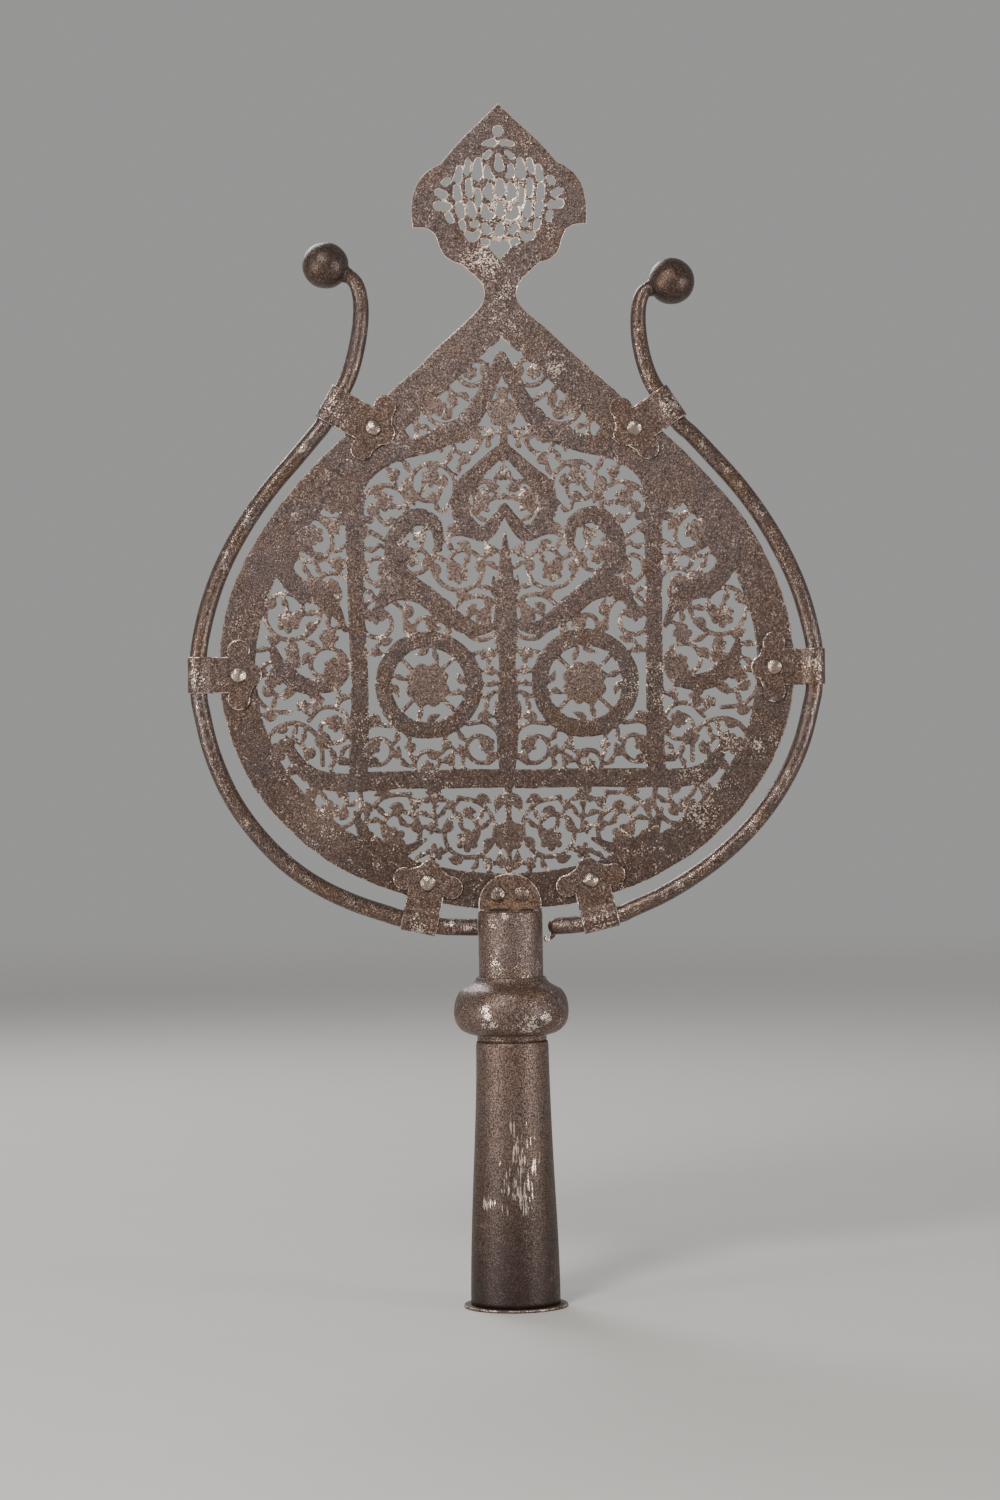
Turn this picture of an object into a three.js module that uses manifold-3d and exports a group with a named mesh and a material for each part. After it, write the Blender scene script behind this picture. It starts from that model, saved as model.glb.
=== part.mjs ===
// Processional standard: a pierced steel plate with a leaf-shaped finial, ringed by two bent guard rods
// that six riveted clips hold to it, on a tubular socket with a knop. Millimetres, +Z up, the face looks
// along -Y, and the origin is the middle of the mouth ring's underside.
import * as THREE from 'three';
import { mergeVertices } from 'three/addons/utils/BufferGeometryUtils.js';
import Module from 'manifold-3d';

const wasm = await Module();
wasm.setup();

// Fits
const seatGap = 0.3;
const sleeveGap = 0.5;

// Socket
const rimThickness = 1.5;
const rimRadius = 28.5;
const ferruleLength = 143.6;
const ferruleMouthRadius = 24.6;
const sheetWall = 2;
const knopGroove = 3.4;
const knopHeight = 27.4;
const knopRadius = 31.8;
const knopCollar = 4.2;
const collarWall = 1.1;
const neckRadius = 17.6;
const neckWall = 2.2;
const neckHeight = 36;
const neckTail = 20;
const capThickness = 3;
const capChamfer = 0.8;

// Plate, with heights above its foot
const plateThickness = 2.5;
const plateHalfWidth = 157.8;
const widestHeight = 131.7;
const shoulderHalfWidth = 87.2;
const shoulderHeight = 261.5;
const throatHalfWidth = 25.5;
const throatHeight = 317.7;
const stemHalfWidth = 8.8;
const stemHeight = 337.7;
const plateBorder = 20;
const tangHalfWidth = 11.5;
const tangDepth = 12;

// Finial, with heights above the waist of the stem
const finialHeight = 105;
const finialHalfWidth = 47.6;
const finialCornerHeight = 37;
const cuspHalfWidth = 32;
const cuspHeight = 72.2;

// Openwork, and the sizes of plate and finial at which its places are given
const drawnPlate = { halfWidth: 157.8, height: 317.7 };
const drawnFinial = { halfWidth: 47.6, height: 105 };
const tendrilHalfWidth = 1.25;
const strapHalfWidth = 5.2;
const cornerBlend = 1;
const smallestHole = 12;
const gridStep = 0.75;
const contourSlack = 0.5;
const stepsPerSpan = 4;

// Guard rods: gaps to the plate's edge at places measured round that edge from its foot
const rodRadius = 4.7;
const rodSides = 8;
const rodSteps = 44;
const lowerClipRun = 47;
const middleClipRun = 228;
const upperClipRun = 388;
const shoulderRun = 302;
const beforeUpperClip = 24;
const afterUpperClip = 14;
const leftGaps = [[0, 4.5], [lowerClipRun, 7.4], [middleClipRun / 2, 10.5], [middleClipRun, 6.6],
  [shoulderRun, 4.9], [upperClipRun - beforeUpperClip, 5.2], [upperClipRun, 10.6],
  [upperClipRun + afterUpperClip, 16]];
const rightGaps = [[0, 4.5], [lowerClipRun, 7.2], [middleClipRun / 2, 5.8], [middleClipRun, 6.6],
  [shoulderRun, 4.2], [upperClipRun - beforeUpperClip, 4.4], [upperClipRun, 6.8],
  [upperClipRun + afterUpperClip, 12]];
const hornBend = 16;
const leftHorn = {
  spread: 3.2, rise: 77.1, endGap: seatGap, direction: new THREE.Vector2(0.9, 0.43).normalize(), endBend: 14,
};
const rightHorn = {
  spread: 3.2, rise: 68.2, endGap: 3, direction: new THREE.Vector2(0.95, 0.31).normalize(), endBend: 10,
};
const ballRadius = 12.8;
const ballBoreDepth = 8;

// Clips and rivets
const strapThickness = 1.2;
const clipReach = 22;
const upperLeftReach = 25;
const shankHalfWidth = 10;
const lobeOffset = 13.2;
const lobeRadius = 6.2;
const noseReach = 12.7;
const noseRadius = 6.5;
const rivetShank = 2.2;
const rivetHead = 4.4;
const rivetDome = 2.3;

// Lugs
const lugThickness = 2;
const lugRadius = 17.3;
const lugHeight = 20.5;
const lugTongueDepth = 14;
const lugRivetHeight = 9.5;
const lugRivetSpacing = 13;

// Heights along the socket
const ferruleFoot = rimThickness + seatGap;
const ferruleTop = ferruleFoot + ferruleLength;
const ferruleTopRadius = neckRadius + seatGap + sheetWall;
const knopFoot = ferruleTop + seatGap;
const knopUnderside = knopFoot + knopGroove;
const knopTop = knopUnderside + knopHeight;
const collarTop = knopTop + knopCollar;
const neckTop = collarTop + neckHeight;
const plateFoot = neckTop + 2 * seatGap;
const stemZ = plateFoot + stemHeight;

const patina = { color: 0x6b5a52, roughness: 0.62, metalness: 0.75 };
const rubbedSteel = { color: 0x8a7870, roughness: 0.48, metalness: 0.85 };
const rustySteel = { color: 0x6e5240, roughness: 0.72, metalness: 0.6 };
const brightRivet = { color: 0x8f837c, roughness: 0.4, metalness: 0.9 };
const lathedSides = 24;
const alam = new THREE.Group();

function addPiece(name, geometry, look) {
  const mesh = new THREE.Mesh(geometry, new THREE.MeshStandardMaterial(look));
  mesh.name = name;
  alam.add(mesh);
  return mesh;
}

function toSolid(geometry) {
  const bare = geometry.clone();
  bare.deleteAttribute('normal');
  bare.deleteAttribute('uv');
  const merged = mergeVertices(bare);
  const triVerts = new Uint32Array(merged.index.array);
  const vertProperties = new Float32Array(merged.attributes.position.array);
  return new wasm.Manifold(new wasm.Mesh({ numProp: 3, vertProperties, triVerts }));
}

function toGeometry(solid) {
  const mesh = solid.getMesh();
  const geometry = new THREE.BufferGeometry();
  geometry.setAttribute('position', new THREE.BufferAttribute(mesh.vertProperties, 3));
  geometry.setIndex(new THREE.BufferAttribute(mesh.triVerts, 1));
  return geometry;
}

// Turns a profile of [radius, height] points about the Z axis
function turned(profile, sides = lathedSides) {
  const points = profile.map(([radius, height]) => new THREE.Vector2(radius, height));
  return new THREE.LatheGeometry(points, sides).rotateX(Math.PI / 2);
}

// Extrudes an outline drawn across and up, centred on the plate's middle plane
function standing(shape, depth, curveSegments = 8) {
  const geometry = new THREE.ExtrudeGeometry(shape, { depth, bevelEnabled: false, curveSegments });
  return geometry.translate(0, 0, -depth / 2).rotateX(Math.PI / 2);
}

// Mouth ring, ferrule, knop and neck
const ferruleRadius = (share) => {
  const fall = (1 + Math.cos(Math.PI * share)) / 2;
  return ferruleTopRadius + (ferruleMouthRadius - ferruleTopRadius) * fall;
};

function mouthRing() {
  const bore = ferruleMouthRadius - sheetWall;
  return turned([[bore, 0], [rimRadius, 0], [rimRadius, rimThickness], [bore, rimThickness], [bore, 0]]);
}

function ferrule() {
  const levels = 6;
  const outside = [];
  for (let level = 0; level <= levels; level += 1) {
    const share = level / levels;
    outside.push([ferruleRadius(share), ferruleFoot + share * ferruleLength]);
  }
  const inside = outside.map(([radius, height]) => [radius - sheetWall, height]).reverse();
  return turned([...outside, ...inside, outside[0]]);
}

function knop() {
  const bore = neckRadius + seatGap;
  const collar = bore + collarWall;
  const belly = new THREE.Path();
  belly.moveTo(collar, knopFoot);
  belly.lineTo(collar, knopUnderside);
  belly.bezierCurveTo(collar + 6, knopUnderside, knopRadius, knopUnderside + 0.13 * knopHeight,
    knopRadius, knopUnderside + 0.46 * knopHeight);
  belly.bezierCurveTo(knopRadius, knopUnderside + 0.73 * knopHeight,
    knopRadius - 3.3, knopTop - 0.1 * knopHeight, knopRadius - 6.3, knopTop - 0.06 * knopHeight);
  belly.bezierCurveTo(knopRadius - 9.5, knopTop, collar + 0.6, knopTop + 0.3 * knopCollar, collar, collarTop);
  const outside = belly.getPoints(3);
  const inside = outside.map((point, at) => {
    const before = outside[Math.max(at - 1, 0)];
    const after = outside[Math.min(at + 1, outside.length - 1)];
    const along = after.clone().sub(before).normalize();
    return [Math.max(bore, point.x - along.y * sheetWall), point.y + along.x * sheetWall];
  });
  const first = [bore, knopFoot];
  const last = [bore, collarTop];
  const wall = inside.slice(2, -2).reverse();
  return turned([first, ...outside.map((point) => [point.x, point.y]), last, ...wall, first]);
}

const slotHalfDepth = plateThickness / 2 + seatGap + lugThickness + seatGap;

function neck() {
  const tail = ferruleTop - neckTail;
  const bore = neckRadius - neckWall;
  const ceiling = neckTop - capThickness;
  const tube = turned([[0, ceiling], [bore, ceiling], [bore, tail], [neckRadius, tail],
    [neckRadius, neckTop - capChamfer], [neckRadius - capChamfer, neckTop], [0, neckTop]]);
  const slot = new THREE.BoxGeometry(2 * (lugTongueHalfWidth + seatGap), 2 * slotHalfDepth, 3 * capThickness);
  slot.translate(0, 0, neckTop);
  return toGeometry(toSolid(tube).subtract(toSolid(slot)));
}

// Outline of the plate's right half as [across, height] points from the foot to the tip
function halfOutline() {
  const edge = new THREE.Path();
  const tip = stemZ + finialHeight;
  const widest = plateFoot + widestHeight;
  const shoulder = plateFoot + shoulderHeight;
  const throat = plateFoot + throatHeight;
  const slope = new THREE.Vector2(shoulderHalfWidth - throatHalfWidth, shoulder - throat).normalize();
  const corner = stemZ + finialCornerHeight;
  const cusp = stemZ + cuspHeight;
  edge.moveTo(0, plateFoot);
  edge.bezierCurveTo(0.585 * plateHalfWidth, plateFoot, plateHalfWidth, widest - 0.54 * widestHeight,
    plateHalfWidth, widest);
  edge.bezierCurveTo(plateHalfWidth, widest + 0.48 * (shoulder - widest),
    shoulderHalfWidth + 38 * slope.x, shoulder + 38 * slope.y, shoulderHalfWidth, shoulder);
  edge.lineTo(throatHalfWidth, throat);
  edge.bezierCurveTo(throatHalfWidth - 12 * slope.x, throat - 12 * slope.y, stemHalfWidth, stemZ - 8,
    stemHalfWidth, stemZ);
  edge.bezierCurveTo(stemHalfWidth, stemZ + 7.5, stemHalfWidth + 7, stemZ + 10.5, 0.45 * finialHalfWidth,
    stemZ + 0.45 * finialCornerHeight);
  edge.bezierCurveTo(0.61 * finialHalfWidth, stemZ + 0.47 * finialCornerHeight, 0.7 * finialHalfWidth,
    stemZ + 0.62 * finialCornerHeight, 0.72 * finialHalfWidth, stemZ + 0.78 * finialCornerHeight);
  edge.bezierCurveTo(0.76 * finialHalfWidth, corner - 1.5, 0.84 * finialHalfWidth, corner + 1.5,
    finialHalfWidth, corner);
  edge.bezierCurveTo(finialHalfWidth + 2.9, corner + 0.48 * (cusp - corner), cuspHalfWidth + 13.5, cusp - 4.7,
    cuspHalfWidth, cusp);
  edge.bezierCurveTo(cuspHalfWidth - 6, cusp + 9.3, 10, tip - 10, 0, tip);
  return edge.getPoints(9);
}

const edgePoints = halfOutline();

// Field over the right half of the plate: distance to metal, negative inside it
const columns = Math.ceil((Math.max(plateHalfWidth, finialHalfWidth) + 4) / gridStep);
const rows = Math.ceil((stemHeight + finialHeight) / gridStep) + 1;
const metal = new Float64Array(columns * rows).fill(99);

function distanceToSegment(x, z, start, end) {
  const dx = end.x - start.x;
  const dz = end.y - start.y;
  const along = ((x - start.x) * dx + (z - start.y) * dz) / (dx * dx + dz * dz || 1);
  const share = Math.min(1, Math.max(0, along));
  const reach = start.half === undefined ? 0 : start.half + share * (end.half - start.half);
  return Math.hypot(x - start.x - share * dx, z - start.y - share * dz) - reach;
}

// The same, but blended with what is there: a small fillet where a stroke meets the metal
const join = (held, drawn, blend) => {
  const overlap = Math.max(0, blend - Math.abs(held - drawn)) / blend;
  return Math.min(held, drawn) - overlap * overlap * blend / 4;
};
const cutOut = (held, drawn) => Math.max(held, -drawn);

// Applies one chain of round-ended strokes to the field
function stamp(chain, margin, combine) {
  const xs = chain.map((point) => point.x);
  const zs = chain.map((point) => point.y);
  const left = Math.max(0, Math.floor((Math.min(...xs) - margin) / gridStep));
  const right = Math.min(columns - 1, Math.ceil((Math.max(...xs) + margin) / gridStep));
  const low = Math.max(0, Math.floor((Math.min(...zs) - margin - plateFoot) / gridStep));
  const high = Math.min(rows - 1, Math.ceil((Math.max(...zs) + margin - plateFoot) / gridStep));
  for (let row = low; row <= high; row += 1) {
    const z = plateFoot + row * gridStep;
    for (let column = left; column <= right; column += 1) {
      let nearest = 99;
      for (let at = 1; at < chain.length; at += 1) {
        nearest = Math.min(nearest, distanceToSegment(column * gridStep, z, chain[at - 1], chain[at]));
      }
      const cell = row * columns + column;
      metal[cell] = combine(metal[cell], nearest);
    }
  }
}

// A drawing on the plate, mirrored across its middle, stretched with the plate's size
class Drawing {
  constructor(foot, stretchX, stretchZ) {
    this.foot = foot;
    this.stretchX = stretchX;
    this.stretchZ = stretchZ;
  }

  stroke(points, halfWidths) {
    this.draw(points, halfWidths, (held, drawn) => join(held, drawn, cornerBlend));
  }

  pierce(points, halfWidths) {
    this.draw(points, halfWidths, cutOut);
  }

  draw(points, halfWidths, combine) {
    const knots = points.map(([x, z], at) => new THREE.Vector3(
      x * this.stretchX, this.foot + z * this.stretchZ, halfWidths[at]));
    const curve = new THREE.CatmullRomCurve3(knots, false, 'catmullrom', 0.5);
    const chain = curve.getPoints((points.length - 1) * stepsPerSpan);
    const strokes = chain.map((point) => ({ x: point.x, y: point.y, half: point.z }));
    stamp(strokes, Math.max(...halfWidths) + 2 * cornerBlend, combine);
  }

  leaf(x, z, angle, length, halfWidth, bend) {
    const out = THREE.MathUtils.degToRad(angle);
    const turn = THREE.MathUtils.degToRad(angle + bend);
    this.stroke([[x, z], [x + 0.45 * length * Math.cos(out), z + 0.45 * length * Math.sin(out)],
      [x + length * Math.cos(turn), z + length * Math.sin(turn)]], [1, halfWidth, 0.35]);
  }

  rosette(x, z, radius) {
    this.stroke([[x, z], [x + 0.01, z]], [0.8 * radius, 0.8 * radius]);
  }

  // Stem that winds in from the radius, with leaves by turns outside and inside, to a rosette
  spiral(x, z, radius, start, turns, leaves, flower, leafLength = 8) {
    const knots = Math.max(6, Math.floor(Math.abs(turns) * 9));
    const at = (share) => {
      const angle = THREE.MathUtils.degToRad(start + 360 * turns * share);
      const reach = radius * (1 - 0.74 * share);
      return [x + reach * Math.cos(angle), z + reach * Math.sin(angle)];
    };
    const stem = Array.from({ length: knots + 1 }, (_, knot) => at(knot / knots));
    this.stroke(stem, stem.map(() => tendrilHalfWidth));
    for (let leaf = 0; leaf < leaves; leaf += 1) {
      const share = 0.06 + 0.78 * leaf / Math.max(leaves - 1, 1);
      const side = (leaf % 2 === 0 ? 1 : -1) * Math.sign(turns);
      const heading = start + 360 * turns * share + 90 * Math.sign(turns);
      this.leaf(...at(share), heading - 48 * side, leafLength * (1 - 0.3 * share), 2.7, 34 * side);
    }
    this.rosette(...at(1), flower);
  }

  ring(x, z, radius, halfWidth) {
    const knots = 16;
    const round = Array.from({ length: knots + 1 }, (_, knot) => {
      const angle = 2 * Math.PI * knot / knots;
      return [x + radius * Math.cos(angle), z + radius * Math.sin(angle)];
    });
    this.stroke(round, round.map(() => halfWidth));
  }
}

// Whether a point lies inside the outline, by the edges that cross the level line to its right
function isOnPlate(x, z) {
  let crossed = 0;
  for (let at = 1; at < edgePoints.length; at += 1) {
    const [start, end] = [edgePoints[at - 1], edgePoints[at]];
    const spans = (start.y > z) !== (end.y > z);
    if (spans && x < start.x + (z - start.y) * (end.x - start.x) / (end.y - start.y)) crossed += 1;
  }
  return crossed % 2 === 1;
}

// Solid border round the field, and the solid sheet above it that the finial's openings are cut from
function drawBorder() {
  stamp(edgePoints, 1.5 * plateBorder, Math.min);
  const stemFoot = plateFoot + throatHeight - 4;
  for (let row = 0; row < rows; row += 1) {
    const z = plateFoot + row * gridStep;
    const stem = stemFoot - z;
    for (let column = 0; column < columns; column += 1) {
      const cell = row * columns + column;
      const border = isOnPlate(column * gridStep, z) ? metal[cell] - plateBorder : -plateBorder;
      metal[cell] = Math.min(border, stem);
    }
  }
}

// Thin scrolls that fill the field behind the bold ornament: centre, radius, start, turns, leaves, flower
function drawScrolls(field) {
  const scrolls = [
    [24, 43, 19, 80, 1.5, 2, 6.5], [61, 45, 20, 110, -1.5, 2, 6.5], [96, 60, 17, 150, 1.4, 2, 5.5],
    [119, 88, 19, 200, -1.5, 2, 6], [96, 101, 13, 20, 1.3, 1, 4.8], [124, 126, 17, 250, 1.4, 2, 5.5],
    [99, 135, 15, -30, -1.4, 1, 5], [119, 165, 20, 90, 1.5, 2, 6.5], [96, 175, 13, 200, -1.3, 1, 4.8],
    [107, 203, 19, -60, 1.5, 2, 6], [93, 227, 14, 30, -1.3, 1, 4.8], [15, 90, 14, 60, 1.3, 1, 4.8],
    [71, 90, 14, 120, -1.3, 1, 4.8], [15, 158, 17, -20, 1.4, 2, 5],
    [69, 159, 15, 200, -1.4, 1, 5], [43, 156, 13, 90, 1.2, 1, 4.5], [24, 189, 19, 120, -1.5, 2, 6],
    [69, 188, 13, 90, 1.3, 1, 4.5], [64, 221, 17, -80, 1.4, 2, 5.5],
    [41, 233, 16, 240, -1.4, 2, 5.5], [22, 257, 13, -20, 1.3, 1, 4.5],
    [56, 265, 14, 60, -1.3, 1, 5], [33, 279, 14, 200, 1.3, 2, 5], [77, 253, 12, 90, 1.2, 1, 4.5],
    [15, 296, 11, 40, -1.2, 1, 4.2]];
  scrolls.forEach((scroll) => field.spiral(...scroll));
}

// Bold ornament: a long band with raised ends, two columns under a pointed arch, and a lance between them
function drawArcade(field) {
  const bold = strapHalfWidth;
  field.stroke([[0, 72], [60, 72], [98, 72], [113, 80], [121, 97]], [bold, bold, bold, 0.85 * bold, 0.8]);
  field.stroke([[82, 72], [81, 123], [82, 173], [82, 221]], [bold, 0.9 * bold, 0.9 * bold, bold]);
  field.stroke([[73, 83], [91, 83]], [2.2, 2.2]);
  field.stroke([[74, 215], [90, 215]], [2.2, 2.2]);
  field.stroke([[82, 219], [79, 238], [62, 251], [40, 257], [20, 267], [7, 287], [0, 303]],
    [0.9 * bold, bold, bold, bold, bold, 0.8 * bold, 3]);
  field.leaf(84, 219, 45, 17, 4.4, 25);
  field.leaf(58, 253, 140, 13, 3.4, -40);
  field.stroke([[0, 72], [0, 101], [0, 133], [0, 168], [0, 207]], [4, 6.2, 4.6, 6.4, 0.8]);
  field.leaf(0, 103, 35, 13, 3, 25);
  field.leaf(0, 171, 35, 14, 3, 25);
}

// Ring medallions with an eight-petalled rosette held on four ties
function drawMedallion(field) {
  const [x, z, radius] = [43, 124, 25];
  field.ring(x, z, radius, 0.88 * strapHalfWidth);
  field.rosette(x, z, 0.5 * radius);
  for (let tie = 0; tie < 4; tie += 1) {
    const slant = Math.PI / 4 + tie * Math.PI / 2;
    field.stroke([[x + 10 * Math.cos(slant), z + 10 * Math.sin(slant)],
      [x + 22 * Math.cos(slant), z + 22 * Math.sin(slant)]], [1.2, 1.2]);
    const square = tie * 90;
    const inward = THREE.MathUtils.degToRad(square);
    field.leaf(x + 21 * Math.cos(inward), z + 21 * Math.sin(inward), square + 215, 8, 2, 20);
  }
}

// Heart, volutes and split leaves of strap width
function drawVolutes(field) {
  const bold = strapHalfWidth;
  field.stroke([[2, 159], [16, 154], [32, 162], [46, 174], [62, 175], [72, 162]],
    [2, 3.6, bold, 1.08 * bold, bold, 1.2]);
  field.stroke([[46, 174], [58, 186], [61, 203], [51, 216], [38, 212], [36, 199]],
    [bold, bold, bold, 0.92 * bold, 3.8, 2]);
  field.stroke([[0, 221], [11, 207], [22, 214], [23, 230], [13, 241], [0, 254]],
    [2.5, 0.8 * bold, bold, bold, 0.8 * bold, 3]);
  field.stroke([[0, 249], [0, 267], [0, 283]], [3, 2, 3.4]);
  field.rosette(0, 273, 8.5);
  field.stroke([[88, 155], [97, 171], [111, 176], [121, 189], [113, 202], [103, 195]],
    [1.5, 0.8 * bold, 1.04 * bold, bold, 0.8 * bold, 1.6]);
  field.stroke([[88, 135], [98, 125], [112, 125], [124, 135], [128, 149]], [1.5, 3.6, 4.8, 4.4, 0.8]);
  field.stroke([[46, 39], [60, 33], [76, 39], [84, 55]], [1, 3.6, 4.4, 1]);
  field.stroke([[0, 67], [0, 45], [0, 19]], [2.5, 1.4, 1.4]);
  field.rosette(0, 41, 9);
  field.leaf(0, 63, -35, 12, 3, -20);
  field.leaf(0, 23, 35, 11, 2.8, 30);
}

// Openings of the finial, straight and bent drops: places along each and half widths, the middle ones first
function pierceFinial(finial) {
  const middle = [
    [[[0, 89.2], [0, 89.7]], [2.7, 2.7]], [[[0, 69.5], [0, 75.5]], [2.4, 1.2]],
    [[[0, 57.5], [0, 61.5]], [2.9, 1.8]], [[[0, 45.5], [0, 49.5]], [2.4, 1.6]],
    [[[0, 34.5], [0, 38.5]], [2.6, 1.4]], [[[0, 20.5], [2.4, 26]], [1.3, 3.2]]];
  const beside = [
    [[[2.9, 83], [7.6, 82.4]], [2, 1.2]], [[[5.2, 77.2], [7.2, 75.4]], [1.4, 1.5]],
    [[[12.4, 66], [11.6, 73.4]], [2.9, 1.4]], [[[18, 67.4], [17, 73.2]], [1.5, 1.2]],
    [[[22.8, 63.8], [21.8, 69.6]], [2.1, 1.3]], [[[28.2, 62.8], [29.6, 61.6]], [1.9, 1.7]],
    [[[4.2, 64.4], [6.6, 66], [6.6, 69.8]], [1.1, 1.9, 1.2]], [[[16.8, 55.2], [17, 62.2]], [1.6, 1.3]],
    [[[23, 53.2], [23.4, 59]], [2.1, 1.6]], [[[30.8, 55], [33.4, 56.4]], [2.2, 1.9]],
    [[[5.2, 53.4], [7, 56], [5.8, 59.6]], [1.6, 2.4, 1.3]], [[[11.9, 50], [12.4, 57]], [1.4, 1.5]],
    [[[28.8, 48.4], [33.4, 49.2]], [2.1, 2.4]], [[[21.4, 43.6], [22.4, 48.4]], [1.7, 2.2]],
    [[[15.4, 44.4], [16.4, 49.6]], [2.3, 1.6]], [[[4.6, 43.4], [8, 44], [8.6, 48]], [1.3, 2.3, 1.3]],
    [[[27.2, 40.8], [28.2, 43.6]], [1.5, 1.6]], [[[13.4, 38.8], [14.8, 38.4]], [1.6, 1.6]],
    [[[20.6, 36.6], [21.2, 39.2]], [1.5, 1.6]], [[[6.8, 34.6], [8.8, 37.2]], [2, 1.5]],
    [[[12.4, 33.4], [15.2, 31], [18.2, 32.8]], [1.3, 2.4, 1.5]], [[[7.4, 28.2], [9, 29]], [1.6, 1.5]]];
  [...middle, ...beside].forEach(([places, halfWidths]) => finial.pierce(places, halfWidths));
}

const valueAt = (column, row) => metal[row * columns + Math.abs(column)];

// Which sides of a grid square the edge of the metal joins, by the corners that hold metal, metal on its left
const crossings = { 1: [[0, 3]], 2: [[1, 0]], 3: [[1, 3]], 4: [[2, 1]], 6: [[2, 0]], 7: [[2, 3]], 8: [[3, 2]],
  9: [[0, 2]], 11: [[1, 2]], 12: [[3, 1]], 13: [[0, 1]], 14: [[3, 0]] };
const saddles = { 5: [[[0, 1], [2, 3]], [[0, 3], [2, 1]]], 10: [[[3, 0], [1, 2]], [[1, 0], [3, 2]]] };

function squareCrossings(column, row) {
  const corners = [valueAt(column, row), valueAt(column + 1, row), valueAt(column + 1, row + 1),
    valueAt(column, row + 1)];
  const held = corners.reduce((sum, value, at) => sum + (value < 0 ? 2 ** at : 0), 0);
  const average = corners.reduce((sum, value) => sum + value, 0);
  return saddles[held] ? saddles[held][average < 0 ? 0 : 1] : crossings[held] || [];
}

// The point where the field is zero on a side of the square, with a key that both squares at the side share
function sidePoint(column, row, side) {
  const [startX, startZ] = [column + (side === 1 ? 1 : 0), row + (side === 2 ? 1 : 0)];
  const [stepX, stepZ] = side % 2 === 0 ? [1, 0] : [0, 1];
  const from = valueAt(startX, startZ);
  const share = from / (from - valueAt(startX + stepX, startZ + stepZ));
  const point = new THREE.Vector2(startX + stepX * share, startZ + stepZ * share).multiplyScalar(gridStep);
  point.y += plateFoot;
  return { key: `${startX} ${startZ} ${stepX}`, point };
}

// Closed edges of the openings, which run clockwise because the metal is on their left
function openingLoops() {
  const next = new Map();
  for (let row = 0; row < rows - 1; row += 1) {
    for (let column = 1 - columns; column < columns - 1; column += 1) {
      squareCrossings(column, row).forEach(([from, to]) => {
        const start = sidePoint(column, row, from);
        next.set(start.key, { point: start.point, to: sidePoint(column, row, to).key });
      });
    }
  }
  const loops = [];
  while (next.size > 0) {
    const loop = [];
    let [key] = next.keys();
    while (next.has(key)) {
      const { point, to } = next.get(key);
      next.delete(key);
      loop.push(point);
      key = to;
    }
    loops.push(loop);
  }
  return loops.filter((loop) => THREE.ShapeUtils.area(loop) < -smallestHole);
}

// Leaves out the points that lie within the slack of the line between their neighbours
function thinned(points) {
  const [first, last] = [points[0], points[points.length - 1]];
  let farthest = 0;
  let at = 0;
  for (let index = 1; index < points.length - 1; index += 1) {
    const offset = distanceToSegment(points[index].x, points[index].y, first, last);
    if (offset > farthest) {
      farthest = offset;
      at = index;
    }
  }
  if (farthest < contourSlack) return [first];
  return [...thinned(points.slice(0, at + 1)), ...thinned(points.slice(at))];
}

function thinnedLoop(loop) {
  const opposite = loop.reduce((best, point, at) => (
    point.distanceTo(loop[0]) > loop[best].distanceTo(loop[0]) ? at : best), 0);
  return [...thinned(loop.slice(0, opposite + 1)), ...thinned([...loop.slice(opposite), loop[0]])];
}

// Guard rods follow the edge of the plate at a gap, then leave it as horns that end in balls
function edgeAt(run) {
  let left = run;
  for (let at = 1; at < edgePoints.length; at += 1) {
    const step = edgePoints[at].clone().sub(edgePoints[at - 1]);
    const length = step.length();
    if (left <= length) {
      const point = edgePoints[at - 1].clone().addScaledVector(step, left / length);
      return { point, outward: new THREE.Vector2(step.y, -step.x).normalize() };
    }
    left -= length;
  }
  throw new Error('the edge of the plate is shorter than the run');
}

function gapAt(gaps, run) {
  const after = gaps.findIndex(([place]) => place >= run);
  const [start, end] = [gaps[Math.max(after, 1) - 1], gaps[Math.max(after, 1)]];
  const share = (run - start[0]) / (end[0] - start[0]);
  const ease = share * share * (3 - 2 * share);
  return start[1] + ease * (end[1] - start[1]);
}

function rodPoint(gaps, run) {
  const { point, outward } = edgeAt(run);
  return point.addScaledVector(outward, gapAt(gaps, run) + rodRadius);
}

const smoothingRun = 12;
const clipRuns = [['lower', lowerClipRun], ['middle', middleClipRun], ['upper', upperClipRun]];

// Place on the rod and its direction, both averaged over a short stretch so that the bends stay gentle
function rodAt(gaps, run) {
  const before = rodPoint(gaps, run - smoothingRun);
  const after = rodPoint(gaps, run + smoothingRun);
  const along = after.clone().sub(before).normalize();
  const middle = rodPoint(gaps, run).multiplyScalar(2).add(before).add(after).divideScalar(4);
  return { middle, along };
}

function hornBall(gaps, horn) {
  const { middle } = rodAt(gaps, upperClipRun);
  return middle.add(new THREE.Vector2(horn.spread, horn.rise));
}

// The rod runs straight through each sleeve
function throughSleeve(gaps, run) {
  const { middle, along } = rodAt(gaps, run);
  const half = shankHalfWidth + 2;
  return [middle.clone().addScaledVector(along, -half), middle.clone().addScaledVector(along, half)];
}

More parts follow.
